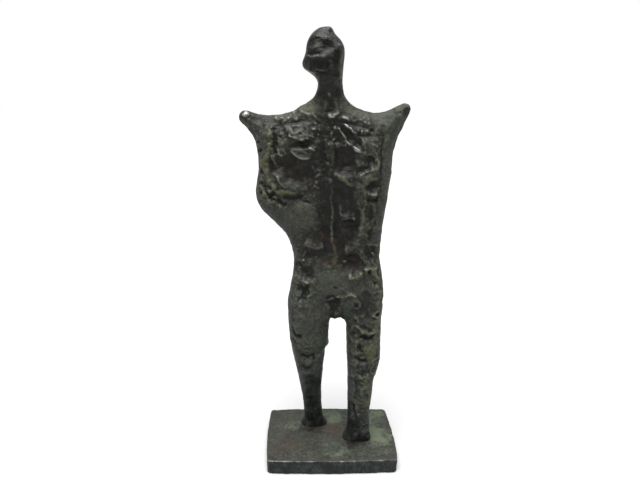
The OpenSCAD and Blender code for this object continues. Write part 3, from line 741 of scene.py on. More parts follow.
def work_left_leg(w):
    w.ring(22.6, 77.8, 1.8, 0.7, 0.9, olive=0.9, pale=0.15)
    w.lump(22.6, 77.6, 1.2, 1.3, -1.8, dark=1)
    w.scatter((10.5, 66), (21.5, 77), 14, 1.6, 0.9, 81, olive=0.4)
    w.scatter((10.5, 66), (21.5, 77), 12, 1.3, -1.0, 82, dark=0.6)
    w.ridge([(14.6, 69.6), (18, 67.8), (20.4, 67), (21.6, 69.4)], 0.8, 1.3, olive=0.8)
    w.ridge([(14.4, 66.6), (17.6, 65), (20.6, 64.8), (21.8, 67)], 1.0, -2.0, dark=1)
    w.ridge([(24.2, 76), (22.8, 71), (22.6, 66), (23.4, 62)], 1.2, 1.2, olive=1)
    w.ridge([(11.6, 76.6), (13.4, 75.6), (12.8, 73.4)], 0.9, 1.2, olive=0.6, green=0.4)
    w.region([(13.4, 61.6), (16.6, 61.4), (17.2, 56.6), (14.4, 55.2)], -1.1, 1.6, dark=0.9)
    w.ridge([(15.2, 63.4), (16.2, 60.6), (17.6, 58.6)], 0.7, 1.0, olive=0.5)
    w.region([(17.2, 60.4), (20.6, 60.2), (23.4, 61.4), (23.2, 57), (22, 52.4), (19.4, 53.8)], 1.0, 1.2,
             olive=1.5, grey=1)
    w.ridge([(11.4, 57.4), (14.6, 55.6), (16.6, 53.4)], 0.9, 0.9, smooth=0.4)
    w.ridge([(11.4, 55.4), (14.6, 53.6), (18.8, 52.6)], 0.9, -1.7, dark=1)
    w.lump(16.6, 50.2, 5, 2.8, 0.9, smooth=0.4, dark=0.7)
    w.ridge([(12.4, 47.4), (17, 45.8), (21.6, 47.6)], 0.9, -0.8, dark=0.6)
    w.region([(13.4, 46), (22, 46), (20, 34), (18.6, 18), (15.6, 20), (14, 34)], 0, 3, olive=0.35, grey=1)
    w.ridge([(13, 44.4), (15.4, 43.8), (17.4, 41.6), (19.4, 44.6), (21, 42.6)], 0.9, 1.1, olive=0.9)
    w.ridge([(15, 41.4), (17.6, 38.6), (15.8, 36.4), (16.8, 33)], 0.8, 1.1, olive=1)
    w.ridge([(20, 41), (18.6, 37), (20, 33), (19, 26)], 0.8, 0.9, olive=0.7)
    w.ridge([(12.2, 44), (13, 38), (12.6, 31)], 1.0, -0.8, dark=0.5)
    w.scatter((13, 16), (21, 44), 14, 1.6, 0.6, 83, olive=0.4, grey=0.7)
    w.scatter((11, 14), (20, 46), 10, 1.3, -0.6, 84, dark=0.5)
    w.ridge([(11.6, 29), (12.2, 25), (13.6, 20.6)], 0.8, -1.8, dark=1)
    w.ridge([(13, 30), (14, 25), (15.4, 21)], 0.8, 0.6, grey=1)
    w.region([(7, 30), (14, 24), (20, 15), (23, 4), (5, 4)], 0, 4, dark=1)
    for x, top in ((7.4, 15), (9.8, 22), (12.6, 17), (15.8, 20), (18.6, 15), (20.6, 19)):
        w.ridge([(0.9 * x + 1.6, top), (x + 0.4, 12), (x, 7)], 1.3, 0.5, bumpy=0.9, dark=0.8)


def work_head(w):
    # Only a pinched block: a crown, two shallow dents, a groove across and a blunt muzzle.
    w.lump(-4, 204, 16, 24, 0, dark=1.4, smooth=0.1)
    w.lump(-4.4, 219.8, 3, 1.2, 0.5, pale=0.25, grey=0.8)
    w.ridge([(-5.6, 218), (-3, 218), (-1.2, 218.6)], 0.9, -0.6, dark=1)
    w.lump(-9.8, 216.4, 3, 2, 0.3, 30, dark=0.5)
    w.lump(-3.6, 215.4, 2.6, 1.2, 0.4, -10, pale=0.15)
    w.lump(-10, 213.2, 4, 2.6, -0.6, 20, tilt=0.4)
    w.lump(-3.4, 211.6, 3.6, 3.2, -0.6, tilt=0.3)
    w.ridge([(-4.6, 213), (-2, 212.6), (0, 211.4)], 0.8, 0.2, dark=0.5)
    w.lump(-9.8, 210.2, 2.2, 1.3, 0.5, 10, pale=0.15)
    w.ridge([(-14, 208.8), (-11, 208.9), (-8, 208.6)], 0.6, 0.4)
    w.ridge([(-13.6, 207.9), (-10.6, 207.8), (-7.4, 207.9)], 0.6, -0.9, dark=1)
    w.ridge([(-14.4, 206.9), (-10.6, 207), (-7.6, 207), (-4.2, 206.4)], 0.6, 0.6, left=1.3,
            bumpy=0.15, pale=0.3)
    w.region([(-12, 205.4), (-8, 205.8), (-4.4, 205), (-4, 202.6), (-8, 201.8), (-12, 202)], -0.6,
             1.2, tilt=0.4, brown=0.5)
    w.ridge([(-12.6, 206), (-13, 203.6), (-12.4, 201.4)], 0.5, 0.5, bumpy=0.15)
    w.ridge([(-13.4, 199.9), (-10.6, 200.9), (-7.6, 201.1), (-4.6, 200.7)], 0.6, 0.7, left=1.4,
            bumpy=0.15, pale=0.2)
    w.ridge([(-4, 205), (-2.6, 204), (-2.2, 202)], 0.6, 0.5)
    w.ridge([(-9, 198.6), (-6, 198.9), (-2, 199.8)], 1.2, -0.6, dark=0.5)
    w.ridge([(2, 214), (1.6, 210), (1.8, 198), (2.2, 191)], 0.9, 0.5, olive=0.4)
    w.lump(1, 212.1, 0.8, 0.9, 0.4, pale=0.3)
    w.ridge([(-6.6, 197), (-6.2, 192), (-5.6, 187)], 0.8, -0.4, dark=0.5)
    w.ridge([(-3.6, 190), (-2.4, 189), (-3, 188)], 0.5, 0.4, pale=0.3)


def work_stubs(w):
    w.region([(-45, 180), (-38, 178.6), (-33.6, 177.4), (-34.4, 173.6), (-39.4, 175), (-43, 177)], -0.9, 2,
             dark=1, smooth=0.3)
    # A painted highlight on the right stub's tip.
    w.lump(-43.4, 179.6, 2.0, 1.4, 0.7, 20, pale=0.7, smooth=1)
    w.ridge([(-45.6, 177), (-43.4, 174.6), (-41, 172)], 0.8, 0.4, grey=1, smooth=0.8)
    w.region([(35.6, 183.8), (31, 181), (25.4, 178.6), (25, 175.6), (30, 176.6), (35, 181)], -0.6,
             2, olive=0.5, grey=0.6)
    w.lump(35.4, 182, 2, 1.8, 0.2, dark=1, smooth=0.8)
    w.ridge([(34.4, 179), (32, 175.6), (30.4, 172)], 1.2, 0.5, grey=1, smooth=0.5)


def work_back(w):
    """The back, which the photograph doesn't show: plain masses with the same tool work."""
    w.region([(-44, 182), (-8, 192), (8, 192), (38, 188), (30, 110), (28, 5), (-16, 5), (-27, 90),
              (-44, 136)], 0, 4, grey=0.6, olive=0.15)
    w.region([(-26, 172), (-8, 178), (8, 178), (22, 172), (18, 146), (4, 138), (-10, 140),
              (-24, 148)], 0, 6, dark=0.6, smooth=0.3)
    w.region([(-18, 132), (16, 132), (20, 112), (8, 104), (-8, 104), (-19, 114)], 0, 6, dark=0.6,
             smooth=0.3)
    w.ridge([(-25, 166), (-20, 172), (-12, 170), (-8, 160)], 1.2, 1.2, left=2, pale=0.25, smooth=0.5)
    w.ridge([(5, 160), (9, 170), (16, 172), (21, 166)], 1.2, 1.2, left=2, pale=0.25, smooth=0.5)
    w.ridge([(-3, 183), (-3.4, 168), (-3, 150), (-1.6, 130), (0.6, 112), (1.6, 98)], 2.6, -1.7,
            bumpy=0.6, dark=0.4)
    w.lump(-19, 160, 11, 12, 2.2, 20, grey=0.9)
    w.lump(14, 161, 10, 12, 2.2, -20, grey=0.9)
    w.ridge([(-8, 170), (-14, 154), (-22, 148)], 1.8, -1.3, bumpy=0.8, dark=0.4)
    w.ridge([(4, 170), (9, 154), (17, 149)], 1.8, -1.3, bumpy=0.8, dark=0.4)
    w.ridge([(-31, 172), (-30, 160), (-32, 148), (-27, 138)], 1.4, 1.3, olive=0.7)
    w.ridge([(24, 172), (23, 158), (22, 144), (19, 130)], 1.3, 1.3, olive=0.7)
    w.region([(-18, 140), (-8, 140), (-6, 122), (-12, 114), (-18, 122)], -1.6, 4, tilt=0.3, brown=0.9,
             smooth=0.6)
    w.region([(3, 140), (15, 140), (15, 122), (9, 114), (3, 120)], -1.6, 4, tilt=0.3, brown=0.9,
             smooth=0.6)
    w.lump(-9.6, 92, 10, 11, 2.6, smooth=0.4, grey=0.8)
    w.lump(13.4, 91, 10, 11, 2.6, smooth=0.4, grey=0.8)
    w.ridge([(1.8, 100), (2, 90), (2.2, 80)], 1.7, -2.4, bumpy=0.5, dark=0.7)
    w.ridge([(-20, 82), (-12, 79), (-3, 82)], 1.6, -1.1, bumpy=0.9, dark=0.4)
    w.ridge([(6, 82), (15, 79), (24, 82)], 1.6, -1.1, bumpy=0.9, dark=0.4)
    w.ridge([(-12, 76), (-12, 62), (-11, 52)], 2.4, 1.0, grey=0.8)
    w.ridge([(17, 76), (17, 62), (16.6, 52)], 2.4, 1.0, grey=0.8)
    w.lump(-11, 34, 4, 9, 1.1)
    w.lump(15.6, 34, 4, 9, 1.1)
    w.ridge([(-5, 178), (-12, 174), (-24, 176)], 1.2, 1.4, right=2, pale=0.5)
    w.ridge([(22, 174), (12, 172), (2, 177)], 1.2, 1.4, right=2, pale=0.5)
    w.ridge([(-8, 214), (-6, 206), (-3, 198), (-2, 190)], 1.4, 0.8)
    w.ridge([(-14, 168), (-18, 162), (-17, 156)], 0.9, 1.2, olive=0.6)
    w.ridge([(10, 168), (14, 163), (13, 156)], 0.9, 1.2, olive=0.6)
    w.scatter((-34, 100), (26, 176), 40, 2.4, 0.9, 91, grey=0.5)
    w.scatter((-34, 100), (26, 176), 24, 2.0, -0.9, 92, dark=0.3)
    w.scatter((-22, 12), (26, 100), 30, 2.2, 0.7, 93, grey=0.6)
    w.scatter((-22, 12), (26, 100), 20, 1.9, -0.7, 94, dark=0.3)
    w.region([(-38, 176), (-24, 176), (-24, 150), (-20, 120), (-34, 134)], 0, 3, knotty=0.7)
    w.region([(30, 176), (18, 170), (20, 140), (18, 100), (30, 96)], 0, 3, knotty=0.7)
    w.region([(-22, 78), (-4, 78), (-6, 40), (-18, 40)], 0, 3, knotty=0.5)
    w.region([(10, 78), (28, 78), (24, 20), (10, 20)], 0, 3, knotty=0.8)


def worked_figure():
    """The figure's sculpted skin: points, quads, and what the patina needs at each point."""
    points, quads = figure_skin()
    normals = normals_of(points, quads)
    front = Worked(points, normals, -1)
    for work in (
        lay_patina, lay_knots, work_shoulders, work_breast, work_right_side, work_belly,
        work_left_flank, work_hips, work_right_leg, work_left_leg, work_head, work_stubs,
    ):
        work(front)
    back = Worked(points, normals, 1)
    work_back(back)
    around = Neighbours(quads, len(points))
    film = {
        name: front.patina.get(name, 0) * front.weight + back.patina.get(name, 0) * back.weight
        for name in FILMS
    }
    height = front.height * front.weight + back.height * back.weight
    # The relief is calmer on smooth metal, much calmer on the shins and the head, and a
    # little calmer on the trunk.
    calm = 1 - 0.8 * np.clip(film["smooth"], 0, 1)
    calm *= 1 - 0.6 * fade(46, 36, points[:, 2])
    calm *= 1 - 0.25 * fade(84, 100, points[:, 2]) - 0.25 * fade(196, 202, points[:, 2])
    turned = 0.45 + 0.55 * fade(0.0, 0.6, np.abs(normals[:, 1]))
    warped = points + 1.6 * np.stack([noise(points, 7, s) for s in (30, 31, 32)], 1)
    height += 0.5 * turned * rough_noise(points, 9, 2, 1)
    height += 0.24 * calm * turned * dabs(warped, 4.6, 1)
    height += 0.12 * calm * turned * dabs(warped, 2.2, 2)
    strings = np.maximum(threads(warped, 6.5, 50), 0.7 * threads(warped, 3.6, 53))
    knotty = 0.22 + 0.78 * np.clip(film["knotty"], 0, 1)
    height += 0.75 * calm * turned * knotty * (strings - 0.3)
    height += 0.2 * calm * turned * rough_noise(points, 2.6, 2, 15)
    ends = fade(PLATE_TOP, PLATE_TOP + 3, points[:, 2])
    points = points + normals * (around.mean(height, 1) * (0.3 + 0.7 * ends))[:, None]
    points = around.mean(points, 1)
    normals = normals_of(points, quads)
    points = points + normals * (0.06 * calm * rough_noise(points, 1.2, 2, 6))[:, None]
    normals = normals_of(points, quads)
    # How far each point stands above the surface round it, near by and further away.
    near_mean = around.mean(points, 3)
    wide_mean = around.mean(near_mean, 14)
    film["crest"] = ((points - near_mean) * normals).sum(1) * 8
    film["swell"] = ((points - wide_mean) * normals).sum(1) * 2.2
    film["crest"] += 0.25 * knotty * (strings - 0.3)
    film["olive"] = np.maximum(film["olive"], 0.8 * knotty * strings * (1 - film["dark"]) * turned)
    del film["knotty"]
    return points, quads, film


# ---------------------------------------------------------------- meshes and pieces


def add_piece(name, points, faces, film, material, slot, replaced):
    """A piece of the visual model, with its patina films stored at its points."""
    mesh = bpy.data.meshes.new(name)
    mesh.from_pydata((points * MM).tolist(), [], faces.tolist())
    mesh.shade_smooth()
    for key, values in film.items():
        layer = mesh.attributes.new(key, "FLOAT", "POINT")
        layer.data.foreach_set("value", values.astype(np.float32))
    mesh.materials.append(material)
    piece = bpy.data.objects.new(name, mesh)
    bpy.context.scene.collection.objects.link(piece)
    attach(piece, "root")
    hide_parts(replaced)
    return piece


def keep_side(piece, place, normal):
    """Cuts a piece on a plane, drops what is beyond it, and closes the cut."""
    mesh = piece.data
    bm = bmesh.new()
    bm.from_mesh(mesh)
    everything = bm.verts[:] + bm.edges[:] + bm.faces[:]
    bmesh.ops.bisect_plane(
        bm,
        geom=everything,
        dist=1e-7,
        plane_co=Vector(place) * MM,
        plane_no=Vector(normal),
        clear_outer=True,
    )
    rim = [edge for edge in bm.edges if edge.is_boundary]
    if rim:
        made = bmesh.ops.triangle_fill(bm, use_beauty=True, use_dissolve=False, edges=rim)
        for lid in (g for g in made["geom"] if isinstance(g, bmesh.types.BMFace)):
            lid.smooth = False
            if lid.normal.dot(Vector(normal)) < 0:
                lid.normal_flip()
        for edge in rim:
            edge.smooth = False
    loose = [vert for vert in bm.verts if not vert.link_faces]
    bmesh.ops.delete(bm, geom=loose, context="VERTS")
    bm.to_mesh(mesh)
    bm.free()


def drop_above(z):
    """The cut that drops all above a height."""
    return (0, 0, z), (0, 0, 1)


def drop_below(z):
    """The cut that drops all below a height."""
    return (0, 0, z), (0, 0, -1)


def flipped(cut):
    """The same cut, dropping its other side."""
    return cut[0], tuple(-v for v in cut[1])


def make_figure(material):
    """The figure's skin in its six cast sections. Each takes its own faces and a few over its cuts."""
    points, quads, film = worked_figure()
    x, _, z = points[quads].mean(1).T
    right_cut, left_cut = RIGHT_CUT[:2], LEFT_CUT[:2]
    spare = 2
    legs = z < HIP_Z + spare
    sections = {
        "head_and_neck": ([drop_below(NECK_Z)], z > NECK_Z - spare),
        "torso": (
            [drop_above(NECK_Z), drop_below(HIP_Z), right_cut, left_cut],
            (z < NECK_Z + spare) & (z > HIP_Z - spare),
        ),
        "right_arm_stub": ([flipped(right_cut)], (x < -STUB_X) & (z > STUB_Z)),
        "left_arm_stub": ([flipped(left_cut)], (x > STUB_X) & (z > STUB_Z)),
        "right_leg": ([drop_above(HIP_Z), drop_below(PLATE_TOP)], legs & (x < CROTCH_X)),
        "left_leg": ([drop_above(HIP_Z), drop_below(PLATE_TOP)], legs & (x > CROTCH_X)),
    }
    for name, (cuts, chosen) in sections.items():
        faces = quads[chosen]
        used, faces = np.unique(faces, return_inverse=True)
        faces = faces.reshape(-1, 4)
        part_film = {key: values[used] for key, values in film.items()}
        piece = add_piece(
            name + "_skin", points[used], faces, part_film, material, "figure_bronze", name
        )
        for cut in cuts:
            keep_side(piece, *cut)


def make_plate():
    """The plate: slightly bulging sides, rounded corners, a soft, rubbed top edge."""
    step = 0.36
    xs = np.arange(-37, 37, step)
    ys = np.arange(-30, 30, step)
    zs = np.arange(-1.5, 9.5, step)
    gx, gy, gz = np.meshgrid(xs, ys, zs, indexing="ij")
    half_x, half_y = PLATE_HALF
    bulge_x = half_x - PLATE_BULGE * (gy / half_y) ** 2
    bulge_y = half_y - PLATE_BULGE * (gx / half_x) ** 2
    over_x = np.abs(gx) - bulge_x + PLATE_CORNER_R
    over_y = np.abs(gy) - bulge_y + PLATE_CORNER_R
    plan = (
        np.hypot(np.maximum(over_x, 0), np.maximum(over_y, 0))
        + np.minimum(np.maximum(over_x, over_y), 0)
        - PLATE_CORNER_R
    )
    soft = 0.45
    tall = np.abs(gz - PLATE_MIDDLE_Z) - PLATE_HALF_HEIGHT
    field = (
        np.hypot(np.maximum(plan + soft, 0), np.maximum(tall + soft, 0))
        + np.minimum(np.maximum(plan, tall) + soft, 0)
        - soft
    )
    recess = np.maximum(plan + FELT_RIM, gz - RECESS_TOP)
    field = np.maximum(field, -recess)
    for x, y in FOOT_SCREWS:
        away = np.hypot(gx - x, gy - y)
        field = np.maximum(field, -np.maximum(away - COUNTERBORE_R, gz - COUNTERBORE_TOP))
        field = np.maximum(field, CLEARANCE_R - away)
    points, quads = skin(field, np.array([xs[0], ys[0], zs[0]]), step)
    x, y, z = points.T
    normals = normals_of(points, quads)
    near_edge = fade(0.5, 1.0, np.abs(x) / (half_x - 1)) + fade(0.5, 1.0, np.abs(y) / (half_y - 1))
    points = points + normals * ((0.10 + 0.06 * near_edge) * rough_noise(points, 4.5, 3, 40))[:, None]
    flat = np.stack([x, y], 1) + 3.2 * np.stack([rough_noise(points, 8, 3, s) for s in (41, 42)], 1)

    def patch(px, py, rx, ry, strength):
        """A stain on the plate's top, with a ragged border."""
        return strength * np.exp(-(((flat[:, 0] - px) / rx) ** 2) - ((flat[:, 1] - py) / ry) ** 2)

    top = fade(0.5, 0.9, normals[:, 2])
    film = {name: np.zeros(len(points)) for name in FILMS if name != "knotty"}
    # By facing: the top is greyer and the sides darker and bluer, painted light and shade.
    film["grey"] = 0.3 + 0.4 * top
    film["slate"] = 0.75 * (1 - top)
    film["verdigris"] = top * np.maximum.reduce([
        patch(25.5, -3, 6, 10, 1.4), patch(20, 12, 7, 9, 1.25), patch(2, 17, 8, 7, 1.0),
        patch(-21, 11, 6, 5, 0.7), patch(6, -18, 10, 5, 0.8), patch(-12, -20, 12, 4, 0.4),
        patch(27, 20, 6, 6, 0.9), patch(27, -18, 5, 6, 0.4), patch(0, -10, 7, 4, 0.4),
    ])
    film["brown"] = top * np.maximum.reduce([patch(-24, -8, 9, 9, 0.25), patch(-26, 20, 6, 5, 0.2)])
    film["red"] = top * np.maximum.reduce([
        patch(3, 3, 5, 6, 0.5), patch(-26, -12, 7, 9, 0.3), patch(-4, 7, 5, 4, 0.3),
    ])
    # The sides' share of the dark film is painted shade.
    film["dark"] = (1 - top) * 0.55 + top * np.maximum.reduce([
        patch(-8.8, 7, 6, 4, 0.8), patch(14, -8, 6, 4, 0.9),
        patch(12, -15, 3, 7, 0.8), patch(-30, -22, 4, 4, 0.3),
    ])
    film["crest"] = 0.36 * rough_noise(points, 1.6, 2, 43)
    film["swell"] = 0.5 * rough_noise(points, 5, 2, 44)
    # The front's upper edge is rubbed bare in places.
    edge_on = fade(0.05, 0.35, normals[:, 2]) * fade(0.99, 0.8, normals[:, 2])
    rim = np.exp(-(((z - 7.2) / 0.7) ** 2)) * edge_on
    rubbed = fade(-0.5, 0.6, rough_noise(points * np.array([1, 0.2, 0.2]), 2.2, 2, 45))
    film["pale"] = np.clip(rim * (0.2 + 0.8 * rubbed) * fade(-20, -25, y) * 0.55, 0, 1)
    film["crest"] += 1.5 * film["pale"]
    return points, quads, film


# ---------------------------------------------------------------- materials


class Paint:
    """Short ways to build a shader's node tree."""

    def __init__(self, name):
        self.material = bpy.data.materials.new(name)
        self.material.use_nodes = True
        self.tree = self.material.node_tree
        self.tree.nodes.clear()
        self.out = self.tree.nodes.new("ShaderNodeOutputMaterial")
        self.shader = self.tree.nodes.new("ShaderNodeBsdfPrincipled")
        self.tree.links.new(self.shader.outputs[0], self.out.inputs[0])
        self.where = self.tree.nodes.new("ShaderNodeTexCoord").outputs["Object"]

    def link(self, source, target):
        if hasattr(source, "links"):
            self.tree.links.new(source, target)
        else:
            target.default_value = source

    def film(self, name):
        node = self.tree.nodes.new("ShaderNodeAttribute")
        node.attribute_name = name
        return node.outputs["Fac"]

    def noise(self, size_mm, detail=3.0, rough=0.55, seed=0.0, tall=1.0):
        node = self.tree.nodes.new("ShaderNodeTexNoise")
        node.noise_dimensions = "4D"
        node.inputs["Scale"].default_value = 1000.0 / size_mm
        node.inputs["Detail"].default_value = detail
        node.inputs["Roughness"].default_value = rough
        node.inputs["W"].default_value = seed
        drawn_out = self.tree.nodes.new("ShaderNodeMapping")
        drawn_out.inputs["Scale"].default_value = (1, 1, 1 / tall)
        self.tree.links.new(self.where, drawn_out.inputs["Vector"])
        self.tree.links.new(drawn_out.outputs["Vector"], node.inputs["Vector"])
        return node.outputs["Fac"]

    def math(self, kind, a, b=0.0, c=0.0, clamp=False):
        node = self.tree.nodes.new("ShaderNodeMath")
        node.operation = kind
        node.use_clamp = clamp
        for socket, value in zip(node.inputs, (a, b, c)):
            self.link(value, socket)
        return node.outputs[0]

    def vary(self, value, spots, amount):
        """The value with a noise's ups and downs added to it."""
        return self.math("MULTIPLY_ADD", self.math("SUBTRACT", spots, 0.5), amount, value)

    def ramp(self, value, low, high, out_low=0.0, out_high=1.0):
        node = self.tree.nodes.new("ShaderNodeMapRange")
        node.interpolation_type = "SMOOTHSTEP"
        for k, number in enumerate((low, high, out_low, out_high)):
            self.link(number, node.inputs[k + 1])
        self.link(value, node.inputs["Value"])
        return node.outputs["Result"]

    def mix(self, share, a, b):
        node = self.tree.nodes.new("ShaderNodeMix")
        node.data_type = "RGBA"
        self.link(share, node.inputs[0])
        for value, socket in ((a, node.inputs[6]), (b, node.inputs[7])):
            if hasattr(value, "links"):
                self.tree.links.new(value, socket)
            else:
                socket.default_value = (*value, 1.0)
        return node.outputs[2]

    def bump(self, height, distance_mm, strength=1.0, under=None):
        node = self.tree.nodes.new("ShaderNodeBump")
        node.inputs["Strength"].default_value = strength
        node.inputs["Distance"].default_value = distance_mm * MM
        self.link(height, node.inputs["Height"])
        if under is not None:
            self.tree.links.new(under, node.inputs["Normal"])
        return node.outputs["Normal"]


def patinated_bronze(name):
    """Cast bronze under a dark wax: patina films over it, bare metal where it is rubbed, and painted
    highlights.
    """
    p = Paint(name)
    crest, swell = p.film("crest"), p.film("swell")
    olive, brown, dark, grey, green, pale, red, smooth, verdigris, slate = map(p.film, FILMS[:-1])
    broad = p.noise(13, 3, 0.6, 1.0)
    middle = p.noise(3.0, 4, 0.65, 2.0)
    grain = p.noise(0.8, 3, 0.7, 3.0)
    streak = p.noise(2.0, 3, 0.6, 5.0, tall=9.0)

    black_colour = (0.007, 0.007, 0.006)
    dark_colour = (0.013, 0.013, 0.011)
    grey_colour = (0.042, 0.044, 0.035)
    olive_colour = (0.062, 0.063, 0.030)
    green_colour = (0.022, 0.036, 0.029)
    brown_colour = (0.013, 0.009, 0.007)
    red_colour = (0.066, 0.034, 0.022)
    slate_colour = (0.038, 0.048, 0.048)
    verdigris_colour = (0.100, 0.124, 0.080)
    pale_colour = (0.300, 0.300, 0.270)

    lifted = p.math("MULTIPLY_ADD", swell, 0.5, p.math("MULTIPLY", crest, 0.35))
    spotted = p.vary(lifted, middle, 1.2)
    spotted = p.vary(spotted, grain, 1.7)
    spotted = p.vary(spotted, streak, 0.9)
    chalky = p.math("MULTIPLY_ADD", p.math("SUBTRACT", grey, dark), 0.75, spotted)
    tone = p.ramp(chalky, -0.5, 1.0)
    colour = p.mix(tone, dark_colour, grey_colour)
    colour = p.mix(p.ramp(broad, 0.5, 0.72, 0.0, 0.35), colour, green_colour)
    olive_share = p.math("MULTIPLY_ADD", spotted, 0.9, olive)
    olive_share = p.math("MULTIPLY", p.ramp(olive_share, 0.3, 1.4), 0.9)
    colour = p.mix(olive_share, colour, olive_colour)
    green_share = p.math("MULTIPLY_ADD", spotted, 0.3, green)
    colour = p.mix(p.math("MULTIPLY", p.ramp(green_share, 0.2, 1.0), 0.8), colour, green_colour)
    slate_share = p.math("MULTIPLY_ADD", spotted, 0.6, slate)
    colour = p.mix(p.math("MULTIPLY", p.ramp(slate_share, 0.1, 1.2), 0.8), colour, slate_colour)
    verdigris_share = p.vary(verdigris, middle, 1.6)
    verdigris_share = p.vary(verdigris_share, grain, 1.2)
    colour = p.mix(p.ramp(verdigris_share, 0.15, 1.1, 0.0, 0.75), colour, verdigris_colour)
    brown_share = p.math("MULTIPLY", brown, p.ramp(spotted, 0.9, 0.1, 0.3, 1.0), clamp=True)
    colour = p.mix(brown_share, colour, brown_colour)
    dark_share = p.math("MULTIPLY", dark, p.ramp(spotted, 0.7, -0.3, 0.0, 0.9), clamp=True)
    colour = p.mix(dark_share, colour, black_colour)
    colour = p.mix(p.math("MULTIPLY", red, p.ramp(middle, 0.3, 0.6), clamp=True), colour, red_colour)
    # Pale where the pale film lies on crests and smooth spots: bare rubbed metal and painted highlight.
    rubbed_and_highlit = p.ramp(p.math("MULTIPLY_ADD", smooth, 0.45, crest), 0.0, 0.9)
    pale_share = p.math("MULTIPLY", p.math("MAXIMUM", pale, 0.06), rubbed_and_highlit, clamp=True)
    colour = p.mix(pale_share, colour, pale_colour)
    # Pale specks on the grain, fewer on smooth and dark films: pale grains and painted glints.
    dull = p.ramp(p.math("ADD", smooth, dark), 0.9, 0.2)
    speck = p.math("MULTIPLY", p.ramp(grain, 0.58, 0.72, 0.0, 0.4), dull)
    colour = p.mix(speck, colour, pale_colour)
    p.link(colour, p.shader.inputs["Base Color"])
    p.shader.inputs["Metallic"].default_value = 0.5
    p.shader.inputs["Specular IOR Level"].default_value = 0.28
    gloss = p.math("MAXIMUM", smooth, p.math("MAXIMUM", p.math("MULTIPLY", dark, 0.6), pale_share))
    gloss = p.math("SUBTRACT", gloss, p.math("MULTIPLY", grey, 0.35))
    rough = p.ramp(gloss, -0.2, 1.0, 0.6, 0.28)
    rough = p.vary(rough, middle, 0.22)
    p.link(rough, p.shader.inputs["Roughness"])
    still = p.ramp(smooth, 0, 1, 1, 0.25)
    coarse = p.bump(p.math("MULTIPLY", middle, still), 0.34)
    fine = p.bump(p.math("MULTIPLY", grain, still), 0.26, 1.0, coarse)
    p.link(fine, p.shader.inputs["Normal"])
    return p.material


def plain(name, colour, metallic, roughness, size_mm, spread=0.3, bump_mm=0.05):
    """A finish with slight mottling, for pieces that are hardly seen."""
    p = Paint(name)
    speck = p.noise(size_mm, 3, 0.6, 4.0)
    low = tuple(c * (1 - spread) for c in colour)
    high = tuple(min(1.0, c * (1 + spread)) for c in colour)
    p.link(p.mix(p.ramp(speck, 0.3, 0.7), low, high), p.shader.inputs["Base Color"])
    p.shader.inputs["Metallic"].default_value = metallic
    rough = p.ramp(speck, 0.2, 0.8, roughness * 0.85, min(1.0, roughness * 1.15))
    p.link(rough, p.shader.inputs["Roughness"])
    p.link(p.bump(speck, bump_mm), p.shader.inputs["Normal"])
    return p.material


# ---------------------------------------------------------------- building it

make_figure(patinated_bronze("figure_bronze_patina"))

plate_bronze = patinated_bronze("plate_bronze_patina")
add_piece("base_plate_skin", *make_plate(), plate_bronze, "base_bronze", "base_plate")

finishes = {
    "felt_pad": plain("green_felt", (0.03, 0.06, 0.04), 0.0, 0.95, 0.4, 0.5, 0.2),
    "screw": plain("plain_steel", (0.55, 0.55, 0.54), 1.0, 0.35, 0.8, 0.1, 0.01),
    "washer": plain("plain_steel_washer", (0.6, 0.6, 0.59), 1.0, 0.3, 0.8, 0.1, 0.01),
    "dowel": plain("turned_bronze", (0.5, 0.33, 0.16), 1.0, 0.35, 1.0, 0.15, 0.01),
}
for node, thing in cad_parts.items():
    for word, finish in finishes.items():
        if word in node:
            thing.data.materials.clear()
            thing.data.materials.append(finish)


# ---------------------------------------------------------------- floor, light, camera


def make_floor():
    """A wide, plain, pale floor."""
    mesh = bpy.data.meshes.new("floor")
    far = 6.0
    corners = [(-far, -far, 0), (far, -far, 0), (far, far, 0), (-far, far, 0)]
    mesh.from_pydata(corners, [], [(0, 1, 2, 3)])
    floor = bpy.data.objects.new("floor", mesh)
    bpy.context.scene.collection.objects.link(floor)
    p = Paint("pale_floor")
    p.shader.inputs["Base Color"].default_value = (0.42, 0.42, 0.42, 1)
    p.shader.inputs["Roughness"].default_value = 0.9
    mesh.materials.append(p.material)


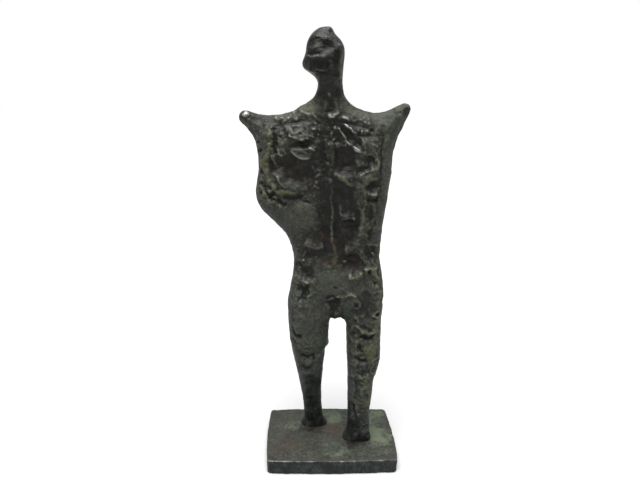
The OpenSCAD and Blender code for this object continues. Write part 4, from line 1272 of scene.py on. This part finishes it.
def make_light():
    """A white studio: a soft box overhead, a white surround, and a dim side at the front."""
    world = bpy.data.worlds.new("studio")
    bpy.context.scene.world = world
    world.use_nodes = True
    tree = world.node_tree
    back = tree.nodes["Background"]
    way = tree.nodes.new("ShaderNodeTexCoord")
    parts = tree.nodes.new("ShaderNodeSeparateXYZ")
    tree.links.new(way.outputs["Generated"], parts.inputs[0])

    def ranged(value, low, high, out_low, out_high):
        node = tree.nodes.new("ShaderNodeMapRange")
        node.interpolation_type = "SMOOTHSTEP"
        for k, number in enumerate((low, high, out_low, out_high)):
            node.inputs[k + 1].default_value = number
        tree.links.new(value, node.inputs[0])
        return node.outputs[0]

    def joined(kind, a, b):
        node = tree.nodes.new("ShaderNodeMath")
        node.operation = kind
        tree.links.new(a, node.inputs[0])
        tree.links.new(b, node.inputs[1])
        return node.outputs[0]

    higher = ranged(parts.outputs["Z"], 0.0, 1.0, 0.35, 1.1)
    behind = ranged(parts.outputs["Y"], -0.7, 0.5, 0.45, 1.2)
    glow = joined("MULTIPLY", higher, behind)
    seen = tree.nodes.new("ShaderNodeLightPath").outputs["Is Camera Ray"]
    tree.links.new(joined("MAXIMUM", glow, seen), back.inputs["Strength"])
    back.inputs["Color"].default_value = (1, 1, 1, 1)
    lamp = bpy.data.lights.new("soft_box", "SUN")
    lamp.energy = 6.6
    lamp.angle = math.radians(50)
    box = bpy.data.objects.new("soft_box", lamp)
    box.rotation_mode = "QUATERNION"
    box.rotation_quaternion = Vector((0.06, 0.28, -1)).to_track_quat("-Z", "Y")
    bpy.context.scene.collection.objects.link(box)


def make_camera():
    """At the photograph's viewing angle: a little above, turned a little to the right."""
    # The place, angles and lens come from a camera fitted to the plate in the photograph.
    pitch, yaw, roll = (math.radians(degrees) for degrees in (13.33, 1.85, 0.52))
    place = Vector((-16.3, -300.6, 188.2))
    ahead = Vector((math.sin(yaw) * math.cos(pitch), math.cos(yaw) * math.cos(pitch), -math.sin(pitch)))
    level = Vector((math.cos(yaw), -math.sin(yaw), 0))
    upward = level.cross(ahead)
    right = level * math.cos(roll) + upward * math.sin(roll)
    top = upward * math.cos(roll) - level * math.sin(roll)
    lens = bpy.data.cameras.new("camera")
    lens.sensor_width = 36
    lens.lens = 34.07
    lens.clip_start = 0.01
    camera = bpy.data.objects.new("camera", lens)
    turn = Matrix((right, top, -ahead)).transposed().to_4x4()
    camera.matrix_world = Matrix.Translation(place * MM) @ turn
    bpy.context.scene.collection.objects.link(camera)
    bpy.context.scene.camera = camera


make_floor()
make_light()
make_camera()
bpy.context.scene.view_settings.view_transform = "Standard"
